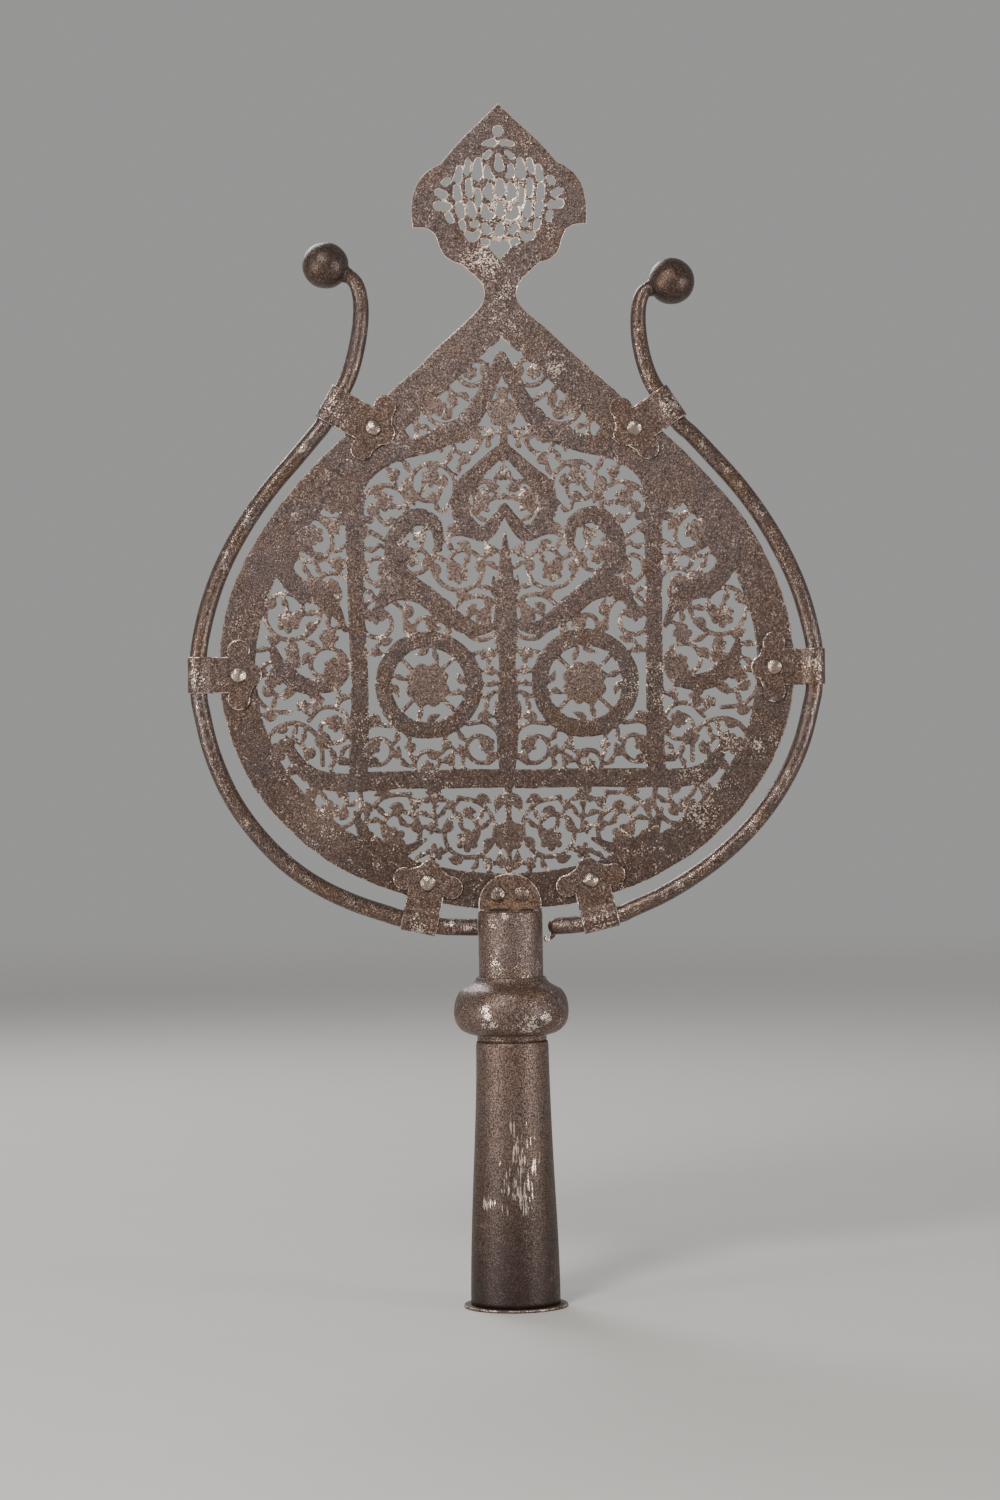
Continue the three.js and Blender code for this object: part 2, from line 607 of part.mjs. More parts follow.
function rodPath(gaps, horn, side) {
  const knotRun = 16;
  const clear = 1.6 * shankHalfWidth;
  const knots = clipRuns.map(([, run]) => ({ run, points: throughSleeve(gaps, run) }));
  for (let run = 2 * knotRun; run < upperClipRun; run += knotRun) {
    const atClip = clipRuns.some(([, clipRun]) => Math.abs(run - clipRun) < clear);
    if (!atClip) knots.push({ run, points: [rodAt(gaps, run).middle] });
  }
  knots.sort((one, other) => one.run - other.run);
  const foot = new THREE.Vector2(neckRadius + horn.endGap, plateFoot - gapAt(gaps, 0) - rodRadius);
  const level = foot.clone().add(new THREE.Vector2(rodRadius, 0));
  const points = [foot, level, ...knots.flatMap((knot) => knot.points)];
  const { along } = rodAt(gaps, upperClipRun);
  const start = points[points.length - 1];
  const ball = hornBall(gaps, horn);
  const intoBall = (depth) => ball.clone().addScaledVector(horn.direction, depth - ballRadius);
  const end = intoBall(-1);
  const bendIn = start.clone().addScaledVector(along, hornBend);
  const bendOut = end.clone().addScaledVector(horn.direction, -horn.endBend);
  const bend = new THREE.CubicBezierCurve(start, bendIn, bendOut, end);
  points.push(...bend.getPoints(7).slice(1), intoBall(ballBoreDepth / 2), intoBall(ballBoreDepth));
  return new THREE.CatmullRomCurve3(points.map((point) => new THREE.Vector3(side * point.x, 0, point.y)));
}

function rod(path) {
  const section = new THREE.Shape();
  section.absarc(0, 0, rodRadius, 0, 2 * Math.PI);
  const options = { extrudePath: path, steps: rodSteps, curveSegments: rodSides / 2 };
  return new THREE.ExtrudeGeometry(section, options);
}

function hornTip(gaps, horn) {
  const bore = new THREE.CylinderGeometry(rodRadius + seatGap, rodRadius + seatGap, ballRadius, 12);
  const floor = ballRadius - ballBoreDepth - seatGap;
  bore.translate(0, -floor - ballRadius / 2, 0);
  bore.rotateZ(Math.atan2(horn.direction.y, horn.direction.x) - Math.PI / 2);
  bore.rotateX(Math.PI / 2);
  return toGeometry(toSolid(new THREE.SphereGeometry(ballRadius, 16, 9)).subtract(toSolid(bore)));
}

// Clip: a strap bent round the rod whose two lobed leaves hold the plate between them
const leafInner = plateThickness / 2 + seatGap;
const leafOuter = leafInner + strapThickness;

function clipSideView(reach) {
  const sleeve = rodRadius + sleeveGap;
  const bendEnd = 0.3 * Math.PI;
  const tip = reach + noseReach + strapThickness;
  const view = new THREE.Shape();
  view.moveTo(tip, leafOuter);
  view.lineTo(1.15 * (sleeve + strapThickness), leafOuter);
  view.absarc(0, 0, sleeve + strapThickness, bendEnd, 2 * Math.PI - bendEnd, false);
  view.lineTo(1.15 * (sleeve + strapThickness), -leafOuter);
  view.lineTo(tip, -leafOuter);
  view.lineTo(tip, -leafInner);
  view.lineTo(1.3 * sleeve, -leafInner);
  view.absarc(0, 0, sleeve, 2 * Math.PI - bendEnd, bendEnd, true);
  view.lineTo(1.3 * sleeve, leafInner);
  view.lineTo(tip, leafInner);
  return view;
}

function clipPlan(reach) {
  const back = -2 * (rodRadius + sleeveGap);
  const meet = Math.asin((lobeOffset - shankHalfWidth) / lobeRadius);
  const noseCentre = reach + noseReach - noseRadius;
  const waist = Math.PI / 12;
  const noseTurn = 0.39 * Math.PI;
  const plan = new THREE.Shape();
  plan.moveTo(back, shankHalfWidth);
  plan.lineTo(back, -shankHalfWidth);
  plan.absarc(reach, -lobeOffset, lobeRadius, Math.PI - meet, 2 * Math.PI + waist, false);
  plan.absarc(noseCentre, 0, noseRadius, -noseTurn, noseTurn, false);
  plan.absarc(reach, lobeOffset, lobeRadius, -waist, Math.PI + meet, false);
  return plan;
}

function clip(reach) {
  const widest = 2 * (lobeOffset + lobeRadius + 1);
  const options = { depth: widest, bevelEnabled: false, curveSegments: 7 };
  const strap = new THREE.ExtrudeGeometry(clipSideView(reach), options).translate(0, 0, -widest / 2);
  const leaves = standing(clipPlan(reach), 4 * (rodRadius + strapThickness), 4);
  const hole = new THREE.CylinderGeometry(rivetShank + seatGap, rivetShank + seatGap, 4 * leafOuter, 10);
  hole.translate(reach, 0, 0);
  return toGeometry(toSolid(strap).intersect(toSolid(leaves)).subtract(toSolid(hole)));
}

// Rivet along Y with a dome at each end, its shank through a stack of the given half thickness
function rivet(halfStack) {
  const seat = halfStack + seatGap;
  const bulge = [[0.7 * rivetHead, 0.76], [rivetHead, 0]];
  const head = bulge.map(([radius, share]) => [radius, seat + share * rivetDome]);
  const top = [[0, seat + rivetDome], ...head, [rivetShank, seat]];
  const bottom = top.map(([radius, height]) => [radius, -height]);
  return turned([...bottom, ...top.reverse()], 10).rotateX(Math.PI / 2);
}

// Lugs in front and behind: half-round plates whose tongues go down through the slot in the neck's cap
const lugTongueHalfWidth = tangHalfWidth + 1.5;
const lugRivets = [-lugRivetSpacing / 2, lugRivetSpacing / 2];

function lug() {
  const shape = new THREE.Shape();
  const foot = neckTop + seatGap;
  const shoulder = foot + lugHeight - lugRadius;
  shape.moveTo(-lugTongueHalfWidth, foot - lugTongueDepth);
  shape.lineTo(lugTongueHalfWidth, foot - lugTongueDepth);
  shape.lineTo(lugTongueHalfWidth, foot);
  shape.lineTo(lugRadius, foot);
  shape.absarc(0, shoulder, lugRadius, 0, Math.PI, false);
  shape.lineTo(-lugRadius, foot);
  shape.lineTo(-lugTongueHalfWidth, foot);
  lugRivets.forEach((across) => shape.holes.push(roundHole(across, neckTop + lugRivetHeight)));
  return standing(shape, lugThickness, 10);
}

function roundHole(across, height) {
  const hole = new THREE.Path();
  hole.absarc(across, height, rivetShank + seatGap, 0, 2 * Math.PI, true);
  return hole;
}

// The two sides, and where each clip sits on them
const sides = [['left', -1, leftGaps, leftHorn], ['right', 1, rightGaps, rightHorn]];
const clipPlaces = sides.flatMap(([sideName, side, gaps]) => clipRuns.map(([level, run]) => {
  const { middle, along } = rodAt(gaps, run);
  const inward = new THREE.Vector2(-along.y * side, along.x);
  const centre = new THREE.Vector2(side * middle.x, middle.y);
  const name = `${level}_${sideName}`;
  const reach = name === 'upper_left' ? upperLeftReach : clipReach;
  return { name, centre, inward, reach, rivet: centre.clone().addScaledVector(inward, reach) };
}));

// Plate: one sheet with the field, the finial and a tang that goes down into the neck
function plate() {
  drawBorder();
  const wider = plateHalfWidth / drawnPlate.halfWidth;
  const field = new Drawing(plateFoot, wider, throatHeight / drawnPlate.height);
  drawScrolls(field);
  drawArcade(field);
  drawMedallion(field);
  drawVolutes(field);
  const finialWider = finialHalfWidth / drawnFinial.halfWidth;
  pierceFinial(new Drawing(stemZ, finialWider, finialHeight / drawnFinial.height));
  const right = edgePoints.slice(1);
  const left = right.slice(0, -1).reverse().map((point) => new THREE.Vector2(-point.x, point.y));
  const wide = (point) => Math.abs(point.x) > tangHalfWidth || point.y > plateFoot + tangDepth;
  const tang = [[-tangHalfWidth, plateFoot], [-tangHalfWidth, plateFoot - tangDepth],
    [tangHalfWidth, plateFoot - tangDepth], [tangHalfWidth, plateFoot]];
  const corners = tang.map(([x, z]) => new THREE.Vector2(x, z));
  const shape = new THREE.Shape([...corners, ...right.filter(wide), ...left.filter(wide)]);
  openingLoops().forEach((loop) => shape.holes.push(new THREE.Path(thinnedLoop(loop))));
  clipPlaces.forEach(({ rivet: place }) => shape.holes.push(roundHole(place.x, place.y)));
  lugRivets.forEach((across) => shape.holes.push(roundHole(across, neckTop + lugRivetHeight)));
  return standing(shape, plateThickness, 8);
}

addPiece('mouth_ring', mouthRing(), rustySteel);
addPiece('socket_ferrule', ferrule(), patina);
addPiece('socket_knop', knop(), rubbedSteel);
addPiece('socket_neck', neck(), patina);
addPiece('pierced_plate', plate(), patina);

const lugOffset = plateThickness / 2 + seatGap + lugThickness / 2;
addPiece('lug_front', lug(), rustySteel).position.y = -lugOffset;
addPiece('lug_back', lug(), rustySteel).position.y = lugOffset;
const lugStack = lugOffset + lugThickness / 2;
lugRivets.forEach((across, at) => {
  const name = `lug_rivet_${at === 0 ? 'left' : 'right'}`;
  addPiece(name, rivet(lugStack), brightRivet).position.set(across, 0, neckTop + lugRivetHeight);
});

sides.forEach(([sideName, side, gaps, horn]) => {
  addPiece(`guard_rod_${sideName}`, rod(rodPath(gaps, horn, side)), rubbedSteel);
  const ball = hornBall(gaps, horn);
  const tip = addPiece(`rod_ball_${sideName}`, hornTip(gaps, horn), rubbedSteel);
  tip.position.set(side * ball.x, 0, ball.y);
  if (side < 0) tip.rotation.z = Math.PI;
});

clipPlaces.forEach(({ name, centre, inward, reach, rivet: place }) => {
  const piece = addPiece(`clip_${name}`, clip(reach), rustySteel);
  piece.position.set(centre.x, 0, centre.y);
  piece.rotation.y = -Math.atan2(inward.y, inward.x);
  addPiece(`clip_rivet_${name}`, rivet(leafOuter), brightRivet).position.set(place.x, 0, place.y);
});

export default alam;
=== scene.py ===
"""Alam: a pierced steel processional standard, dressed over its solid frame.

Sizes are millimetres as a smith would give them, and every mesh is written in metres. The face of the plate
looks along -Y, +Z is up, and the origin is the middle of the mouth ring's underside.
"""

import bpy
import numpy as np
from bpy.props import FloatProperty, FloatVectorProperty, PointerProperty
from mathutils.geometry import delaunay_2d_cdt
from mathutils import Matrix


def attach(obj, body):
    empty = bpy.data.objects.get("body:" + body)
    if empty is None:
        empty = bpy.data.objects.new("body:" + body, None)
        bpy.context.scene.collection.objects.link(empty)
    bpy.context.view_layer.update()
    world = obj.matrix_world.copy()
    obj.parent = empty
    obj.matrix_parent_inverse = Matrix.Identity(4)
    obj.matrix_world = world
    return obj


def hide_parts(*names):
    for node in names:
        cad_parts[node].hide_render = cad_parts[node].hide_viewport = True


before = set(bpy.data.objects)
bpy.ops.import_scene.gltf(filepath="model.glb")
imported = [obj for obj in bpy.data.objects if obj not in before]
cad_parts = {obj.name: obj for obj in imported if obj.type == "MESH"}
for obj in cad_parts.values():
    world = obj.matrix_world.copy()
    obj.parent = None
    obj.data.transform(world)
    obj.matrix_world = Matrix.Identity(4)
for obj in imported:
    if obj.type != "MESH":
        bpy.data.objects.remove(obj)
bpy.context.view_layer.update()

bl_info = {
    "name": "Alam",
    "version": (1, 0, 0),
    "blender": (4, 5, 0),
    "location": "View3D > Sidebar > Alam",
    "description": "Builds the pieces, finishes and stage of a pierced steel processional standard",
    "category": "Object",
}

MM = 0.001
TURN = 2 * np.pi

# Fits and heights along the socket; the seat is the gap left between pieces that touch
SEAT = 0.3
FERRULE_FOOT = 1.8
FERRULE_TOP = 145.4
KNOP_FOOT = 145.7
KNOP_UNDERSIDE = 149.1
KNOP_TOP = 176.5
COLLAR_TOP = 180.7
NECK_FOOT = 125.4
NECK_TOP = 216.7
PLATE_FOOT = 217.3
STEM = 555.0
TIP = 660.0

# Socket
SOCKET_WALL = 2
RING_BORE = 22.6
RING_RADIUS = 28.5
RING_THICKNESS = 1.5
FERRULE_TOP_RADIUS = 19.9
FERRULE_SPREAD = 4.7
SEAM_WIDTH = 0.9
SEAM_HEIGHT = 0.28
KNOP_BORE = 17.9
KNOP_COLLAR = 19.0
KNOP_RADIUS = 31.8
KNOP_LIP = 25.5
NECK_BORE = 15.4
NECK_RADIUS = 17.6
PLUG_RADIUS = 15.5
PLUG_THICKNESS = 3.0
PLUG_SUNK = 1.9

# Plate: half widths, with heights above its foot or, for the finial, above the stem
PLATE_HALF_WIDTH = 157.8
WIDEST = 131.7
SHOULDER_HALF_WIDTH, SHOULDER = 87.2, 261.5
THROAT_HALF_WIDTH, THROAT = 25.5, 317.7
STEM_HALF_WIDTH = 8.8
FINIAL_HALF_WIDTH, FINIAL_CORNER = 47.6, 37
CUSP_HALF_WIDTH, CUSP = 32, 72.2
PLATE_THICKNESS = 2.5
BORDER = 20.0
FIELD_TOP = 313.7
SCROLL_TOP = 310
SMALLEST_OPENING = 2.9
TANG_HALF_WIDTH = 11.5
TANG_DEPTH = 12.0

# Cutting of sheets: step of the distance fields, distance that stands for none, and how far rims are told inwards;
# then the least loop in square millimetres, the slack and the longest side of an outline, and the sharp angle
GRID = 0.5
FAR = 99.0
RIM_REACH = 1.3
SPECK = 1.2
SLACK = 0.05
LONGEST_SIDE = 6.0
SHEET_SHARP = 50

# Rods, clips and lugs. Clips sit at lengths along the plate's edge, and rods leave gaps to it there. A horn has its
# ball's spread and rise from the upper clip, the shift of the rod's foot, the way into the ball and a bend length
ROD_RADIUS = 4.7
CLIP_RUNS = {"lower": 47.0, "middle": 228.0, "upper": 388.0}
GAPS = {
    "left": ((0, 4.5), (47, 7.4), (114, 10.5), (228, 6.6), (302, 4.9), (364, 5.2), (388, 10.6), (402, 16)),
    "right": ((0, 4.5), (47, 7.2), (114, 5.8), (228, 6.6), (302, 4.2), (364, 4.4), (388, 6.8), (402, 12)),
}
HORNS = {"left": (3.2, 77.1, 0.3, (0.9, 0.43), 14.0), "right": (3.2, 68.2, 3.0, (0.95, 0.31), 10.0)}
HORN_BEND = 16.0
BALL_RADIUS = 12.8
STRAP = 1.2
STRAP_RIM = 0.3
STRAP_CLEARANCE = 0.2
SHANK_HALF_WIDTH = 10.0
LOBE_OFFSET = 13.2
LOBE_RADIUS = 6.2
NOSE_REACH = 12.7
NOSE_RADIUS = 6.5
REACH = {"upper_left": 25.0}
COMMON_REACH = 22.0
RIVET_SHANK = 2.2
LUG_RADIUS = 17.3
LUG_HEIGHT = 20.5
LUG_THICKNESS = 2.0
LUG_TONGUE_HALF_WIDTH = 13.0
LUG_TONGUE_DEPTH = 14.0
LUG_RIVET_HEIGHT = 9.5
LUG_RIVETS = (-6.5, 6.5)

# Stage: the camera's place in millimetres and its roll in degrees, its focal length in pixels of the photograph
CAMERA_PLACE = (-4.21, -2030, 305.1)
CAMERA_ROLL = 0.857
SENSOR = 36
FOCAL_LENGTH = 3700
PHOTO_HEIGHT = 1500
FLOOR_RADIUS = 6000.0
ROOM_COLOUR = (0.80, 0.79, 0.78, 1)
ROOM_STRENGTH = 0.42

# Lights: name, place, aim and size in metres, power, colour
LIGHTS = (
    ("key", (-0.7, -1.75, 1.6), (0, 0, 0.38), 0.55, 32, (1.0, 0.97, 0.94)),
    ("left", (-1.7, -1.2, 0.25), (0, 0, 0.36), 0.6, 20, (1.0, 0.98, 0.96)),
    ("right", (1.75, -1.1, 0.25), (0, 0, 0.36), 0.6, 20, (1.0, 0.98, 0.96)),
    ("back", (-0.7, 1.6, 1.5), (0, 0, 0.35), 1.0, 20, (0.96, 0.98, 1.0)),
)


# Curves

def unit(ways):
    """Vectors of two numbers brought to length 1."""
    return ways / np.maximum(np.hypot(ways[..., :1], ways[..., 1:]), 1e-9)


def lengths_along(path):
    """Length of a path up to each of its points."""
    return np.concatenate([[0], np.cumsum(np.hypot(*np.diff(path, axis=0).T))])


def circle(radius, count):
    """Points round a circle about the origin, anticlockwise from its right."""
    angle = TURN * np.arange(count) / count
    return radius * np.column_stack([np.cos(angle), np.sin(angle)])


def bezier(start, one, two, end, count=40):
    """Cubic curve: the sum of its four points weighted by the cubic Bernstein terms at even shares.

    Cubes are written as products, because the last digit of numpy's power can change from run to run.
    """
    share = np.linspace(0, 1, count, endpoint=False)[:, None]
    rest = 1 - share
    points = [np.asarray(point, float) for point in (start, one, two, end)]
    weights = (rest * rest ** 2, 3 * rest ** 2 * share, 3 * rest * share ** 2, share * share ** 2)
    return sum(weight * point for weight, point in zip(weights, points))


def spline(knots, per_span):
    """Uniform Catmull-Rom curve: each span's cubic from its four nearest knots, ends carried on straight."""
    knots = np.asarray(knots, float)
    before = 2 * knots[0] - knots[1]
    after = 2 * knots[-1] - knots[-2]
    run = np.vstack([before, knots, after])
    share = np.linspace(0, 1, per_span, endpoint=False)[None, :, None]
    a, b, c, d = (run[at:len(knots) - 1 + at][:, None, :] for at in range(4))
    slope, next_slope = (c - a) / 2, (d - b) / 2
    cubic = 2 * b - 2 * c + slope + next_slope
    square = 3 * c - 3 * b - 2 * slope - next_slope
    curve = ((cubic * share + square) * share + slope) * share + b
    return np.vstack([curve.reshape(-1, knots.shape[1]), knots[-1:]])


def half_outline():
    """Right edge of the plate from its foot to its tip, as joined cubic curves."""
    wide, fin = PLATE_HALF_WIDTH, FINIAL_HALF_WIDTH
    foot, widest = np.array([0, PLATE_FOOT]), np.array([wide, PLATE_FOOT + WIDEST])
    shoulder = np.array([SHOULDER_HALF_WIDTH, PLATE_FOOT + SHOULDER])
    throat = np.array([THROAT_HALF_WIDTH, PLATE_FOOT + THROAT])
    slope = unit(shoulder - throat)
    stem, foil = np.array([STEM_HALF_WIDTH, STEM]), np.array([0.45 * fin, STEM + 16.65])
    notch, corner = np.array([0.72 * fin, STEM + 28.9]), np.array([fin, STEM + FINIAL_CORNER])
    cusp, tip = np.array([CUSP_HALF_WIDTH, STEM + CUSP]), np.array([0, TIP])
    edge = [
        bezier(foot, (0.585 * wide, PLATE_FOOT), widest - (0, 0.54 * WIDEST), widest, 80),
        bezier(widest, widest + (0, 0.48 * (shoulder[1] - widest[1])), shoulder + 38 * slope, shoulder, 80),
        np.linspace(shoulder, throat, 12, endpoint=False),
        bezier(throat, throat - 12 * slope, stem - (0, 8), stem, 24),
        bezier(stem, stem + (0, 7.5), stem + (7, 10.5), foil, 24),
        bezier(foil, (0.61 * fin, STEM + 17.4), (0.7 * fin, STEM + 22.9), notch, 20),
        bezier(notch, (0.76 * fin, corner[1] - 1.5), (0.84 * fin, corner[1] + 1.5), corner, 20),
        bezier(corner, corner + (2.9, 16.9), cusp + (13.5, -4.7), cusp, 32),
        bezier(cusp, cusp + (-6, 9.3), tip + (10, -10), tip, 32),
        tip[None],
    ]
    return np.vstack(edge)


EDGE = half_outline()
EDGE_RUN = lengths_along(EDGE)


def rod_place(side, run):
    """Place of a rod beside the plate: the edge at that run, moved out by the eased gap and the rod's radius."""
    run = np.asarray(run, float)
    gaps = np.array(GAPS[side], float)
    after = np.clip(np.searchsorted(gaps[:, 0], run), 1, len(gaps) - 1)
    start, end = gaps[after - 1], gaps[after]
    share = (run - start[..., 0]) / (end[..., 0] - start[..., 0])
    gap = start[..., 1] + share * share * (3 - 2 * share) * (end[..., 1] - start[..., 1])
    place = np.stack([np.interp(run, EDGE_RUN, EDGE[:, axis]) for axis in (0, 1)], -1)
    ahead = np.stack([np.interp(run + 1, EDGE_RUN, EDGE[:, axis]) for axis in (0, 1)], -1)
    along = (ahead - place) / np.linalg.norm(ahead - place, axis=-1, keepdims=True)
    outward = np.stack([along[..., 1], -along[..., 0]], -1)
    return place + outward * (gap + ROD_RADIUS)[..., None]


def rod_at(side, run):
    """Middle of the rod and its direction, both averaged over a short stretch."""
    stretch = 12.0
    before, here, after = rod_place(side, np.array([run - stretch, run, run + stretch]))
    along = (after - before) / np.linalg.norm(after - before)
    return (before + 2 * here + after) / 4, along


def ball_centre(side):
    """Centre of the ball at the end of a horn, on the right half."""
    spread, rise, *_ = HORNS[side]
    middle, _ = rod_at(side, CLIP_RUNS["upper"])
    return middle + (spread, rise)


def horn_way(side):
    """Direction in which a horn runs into its ball, on the right half."""
    return unit(np.array(HORNS[side][3]))


def rod_path(side):
    """Middle line of a guard rod on the right half: level foot, round the plate, then the horn into the ball."""
    half, clear, spacing = SHANK_HALF_WIDTH + 2, 1.6 * SHANK_HALF_WIDTH, 16.0
    knots = []
    for run in CLIP_RUNS.values():
        middle, along = rod_at(side, run)
        knots += [(run - half, middle - along * half), (run, middle), (run + half, middle + along * half)]
    for run in np.arange(2 * spacing, CLIP_RUNS["upper"], spacing):
        if all(abs(run - clip) >= clear for clip in CLIP_RUNS.values()):
            knots.append((run, rod_at(side, run)[0]))
    knots = [place for _, place in sorted(knots, key=lambda knot: knot[0])]
    foot = np.array([17.6 + HORNS[side][2], PLATE_FOOT - 4.5 - ROD_RADIUS])
    _, along = rod_at(side, CLIP_RUNS["upper"])
    ball, way = ball_centre(side), horn_way(side)
    into = ball - way * (BALL_RADIUS + 1)
    bend = bezier(knots[-1], knots[-1] + along * HORN_BEND, into - way * HORNS[side][4], into, 7)[1:]
    return spline([foot, foot + (ROD_RADIUS, 0), *knots, *bend, into, ball - way * 5], 8)


# Openwork of the plate

class Openwork:
    """Distance to the metal over the right half of the plate, negative inside it, on a square grid.

    The bold layer alone is kept too, so that the thin scrolls can be told from it.
    """

    def __init__(self, tendril, bar):
        self.tendril = tendril
        self.bar = bar
        self.x = np.arange(0, PLATE_HALF_WIDTH + 4, GRID)
        self.z = np.arange(PLATE_FOOT - TANG_DEPTH - 3, TIP + 3, GRID)
        self.metal = np.full((len(self.z), len(self.x)), FAR)
        self.bold = self.metal.copy()
        self.foot = PLATE_FOOT

    def window(self, low, high):
        """Part of the grid between two corners."""
        rows = slice(*np.searchsorted(self.z, (low[1], high[1])))
        columns = slice(*np.searchsorted(self.x, (low[0], high[0])))
        return rows, columns

    def near(self, chain, margin):
        """Distance from each grid point of the chain's window to the chain of tapering, round-ended strokes."""
        rows, columns = self.window(chain[:, :2].min(0) - margin, chain[:, :2].max(0) + margin)
        x = self.x[None, None, columns]
        z = self.z[None, rows, None]
        start, end = chain[:-1, :, None, None], chain[1:, :, None, None]
        dx, dz = end[:, 0] - start[:, 0], end[:, 1] - start[:, 1]
        share = ((x - start[:, 0]) * dx + (z - start[:, 1]) * dz) / np.maximum(dx * dx + dz * dz, 1e-9)
        share = np.clip(share, 0, 1)
        gap = np.hypot(x - start[:, 0] - share * dx, z - start[:, 1] - share * dz)
        gap -= start[:, 2] + share * (end[:, 2] - start[:, 2])
        return rows, columns, gap.min(0) if gap.size else gap.sum(0)

    def stroke(self, points, halves, bold=False):
        """Adds a stroke along a smooth curve, blended into what is there with a fillet of a millimetre."""
        knots = np.array([(x, self.foot + z, half) for (x, z), half in zip(points, halves)])
        rows, columns, gap = self.near(spline(knots, 5), max(halves) + 4)
        for layer in (self.metal, self.bold) if bold else (self.metal,):
            held = layer[rows, columns]
            blend = np.clip(1 - np.abs(held - gap), 0, None)
            layer[rows, columns] = np.minimum(held, gap) - blend * blend / 4

    def pierce(self, points, halves):
        """Cuts a drop-shaped hole, straight or bent."""
        knots = np.array([(x, self.foot + z, half) for (x, z), half in zip(points, halves)])
        rows, columns, gap = self.near(spline(knots, 5), max(halves) + 4)
        self.metal[rows, columns] = np.maximum(self.metal[rows, columns], -gap)

    def leaf(self, x, z, angle, length, half, bend, bold=False):
        """A pointed leaf that swells at its middle and bends towards its tip."""
        out, turn = np.radians(angle), np.radians(angle + bend)
        middle = (x + 0.45 * length * np.cos(out), z + 0.45 * length * np.sin(out))
        tip = (x + length * np.cos(turn), z + length * np.sin(turn))
        self.stroke([(x, z), middle, tip], [1, half, 0.35], bold)

    def rosette(self, x, z, radius, petals=6, phase=30.0):
        """A round eye with petals that widen outwards."""
        self.stroke([(x, z), (x + 0.01, z)], [0.42 * radius] * 2)
        for angle in np.radians(phase) + TURN * np.arange(petals) / petals:
            way = np.array([np.cos(angle), np.sin(angle)])
            ends = [(x, z) + way * 0.35 * radius, (x, z) + way * 0.68 * radius]
            self.stroke(ends, [0.2 * radius, 0.32 * radius])

    def spiral(self, x, z, radius, start, turns, leaves, flower):
        """A stem whose radius shrinks evenly with its turning, with leaves on both sides and a rosette at its end."""
        count = max(6, int(abs(turns) * 9))
        share = np.linspace(0, 1, count + 1)
        way = np.sign(turns)

        def at(place):
            angle = np.radians(start + 360 * turns * place)
            reach = radius * (1 - 0.74 * place)
            return x + reach * np.cos(angle), z + reach * np.sin(angle)

        self.stroke(list(zip(*at(share))), [self.tendril] * (count + 1))
        for leaf in range(leaves):
            place = 0.06 + 0.78 * leaf / max(leaves - 1, 1)
            side = way if leaf % 2 == 0 else -way
            heading = start + 360 * turns * place + 90 * way
            self.leaf(*at(place), heading - 48 * side, 8 * (1 - 0.3 * place), 2.7, 34 * side)
        self.rosette(*at(1), flower)

    def ring(self, x, z, radius, half):
        """A round band."""
        angle = np.linspace(0, TURN, 25)
        self.stroke(list(zip(x + radius * np.cos(angle), z + radius * np.sin(angle))), [half] * 25, True)


def fill_openings(work, region, smallest):
    """Fills what the scrolls leave open, widest first, until no round of the smallest radius fits anywhere.

    The middle of an opening is where the distance to the metal is greatest. A wide one gets a small flower on
    three stems, a narrower one a leaf that swells across it. Each stem runs to where a ray first meets metal.
    """
    rays = 24
    ways = circle(1, rays)
    steps = np.arange(0.5, 26, 0.5)
    turn = 0
    while True:
        room = np.where(region, work.metal, 0)
        row, column = np.unravel_index(room.argmax(), room.shape)
        radius = room[row, column]
        if radius < smallest:
            break
        x, z = (0.0 if work.x[column] < 1.5 else work.x[column]), work.z[row]
        across = np.abs(x + ways[:, :1] * steps)
        up = z + ways[:, 1:] * steps
        columns = np.clip(across / GRID, 0, len(work.x) - 1).astype(int)
        rows = np.clip((up - work.z[0]) / GRID, 0, len(work.z) - 1).astype(int)
        reach = steps[(work.metal[rows, columns] < 0).argmax(1)] + 0.8
        middle = np.array([x, z - work.foot])
        first = reach.argmin()
        wide = radius > 4.4
        turn += 1
        stems = (0, 8, 16) if wide else (0, 12)
        for stem in stems:
            around = (first + stem + np.array([-2, -1, 0, 1, 2])) % rays
            best = around[reach[around].argmin()] if stem else first
            end = middle + ways[best] * reach[best]
            side = np.array([-ways[best][1], ways[best][0]]) * (0.16 if turn % 2 else -0.16) * reach[best]
            start = 0.5 * radius * ways[best] if wide else 0 * ways[best]
            halves = [0.9, 1.0, 1.3] if wide else [min(0.42 * radius, 1.9), 1.1, 1.0]
            work.stroke([middle + start, middle + ways[best] * 0.55 * reach[best] + side, end], halves)
        if wide:
            work.rosette(*middle, min(0.66 * radius, 6.0), 5 if turn % 2 else 6, 30 + 17 * turn)


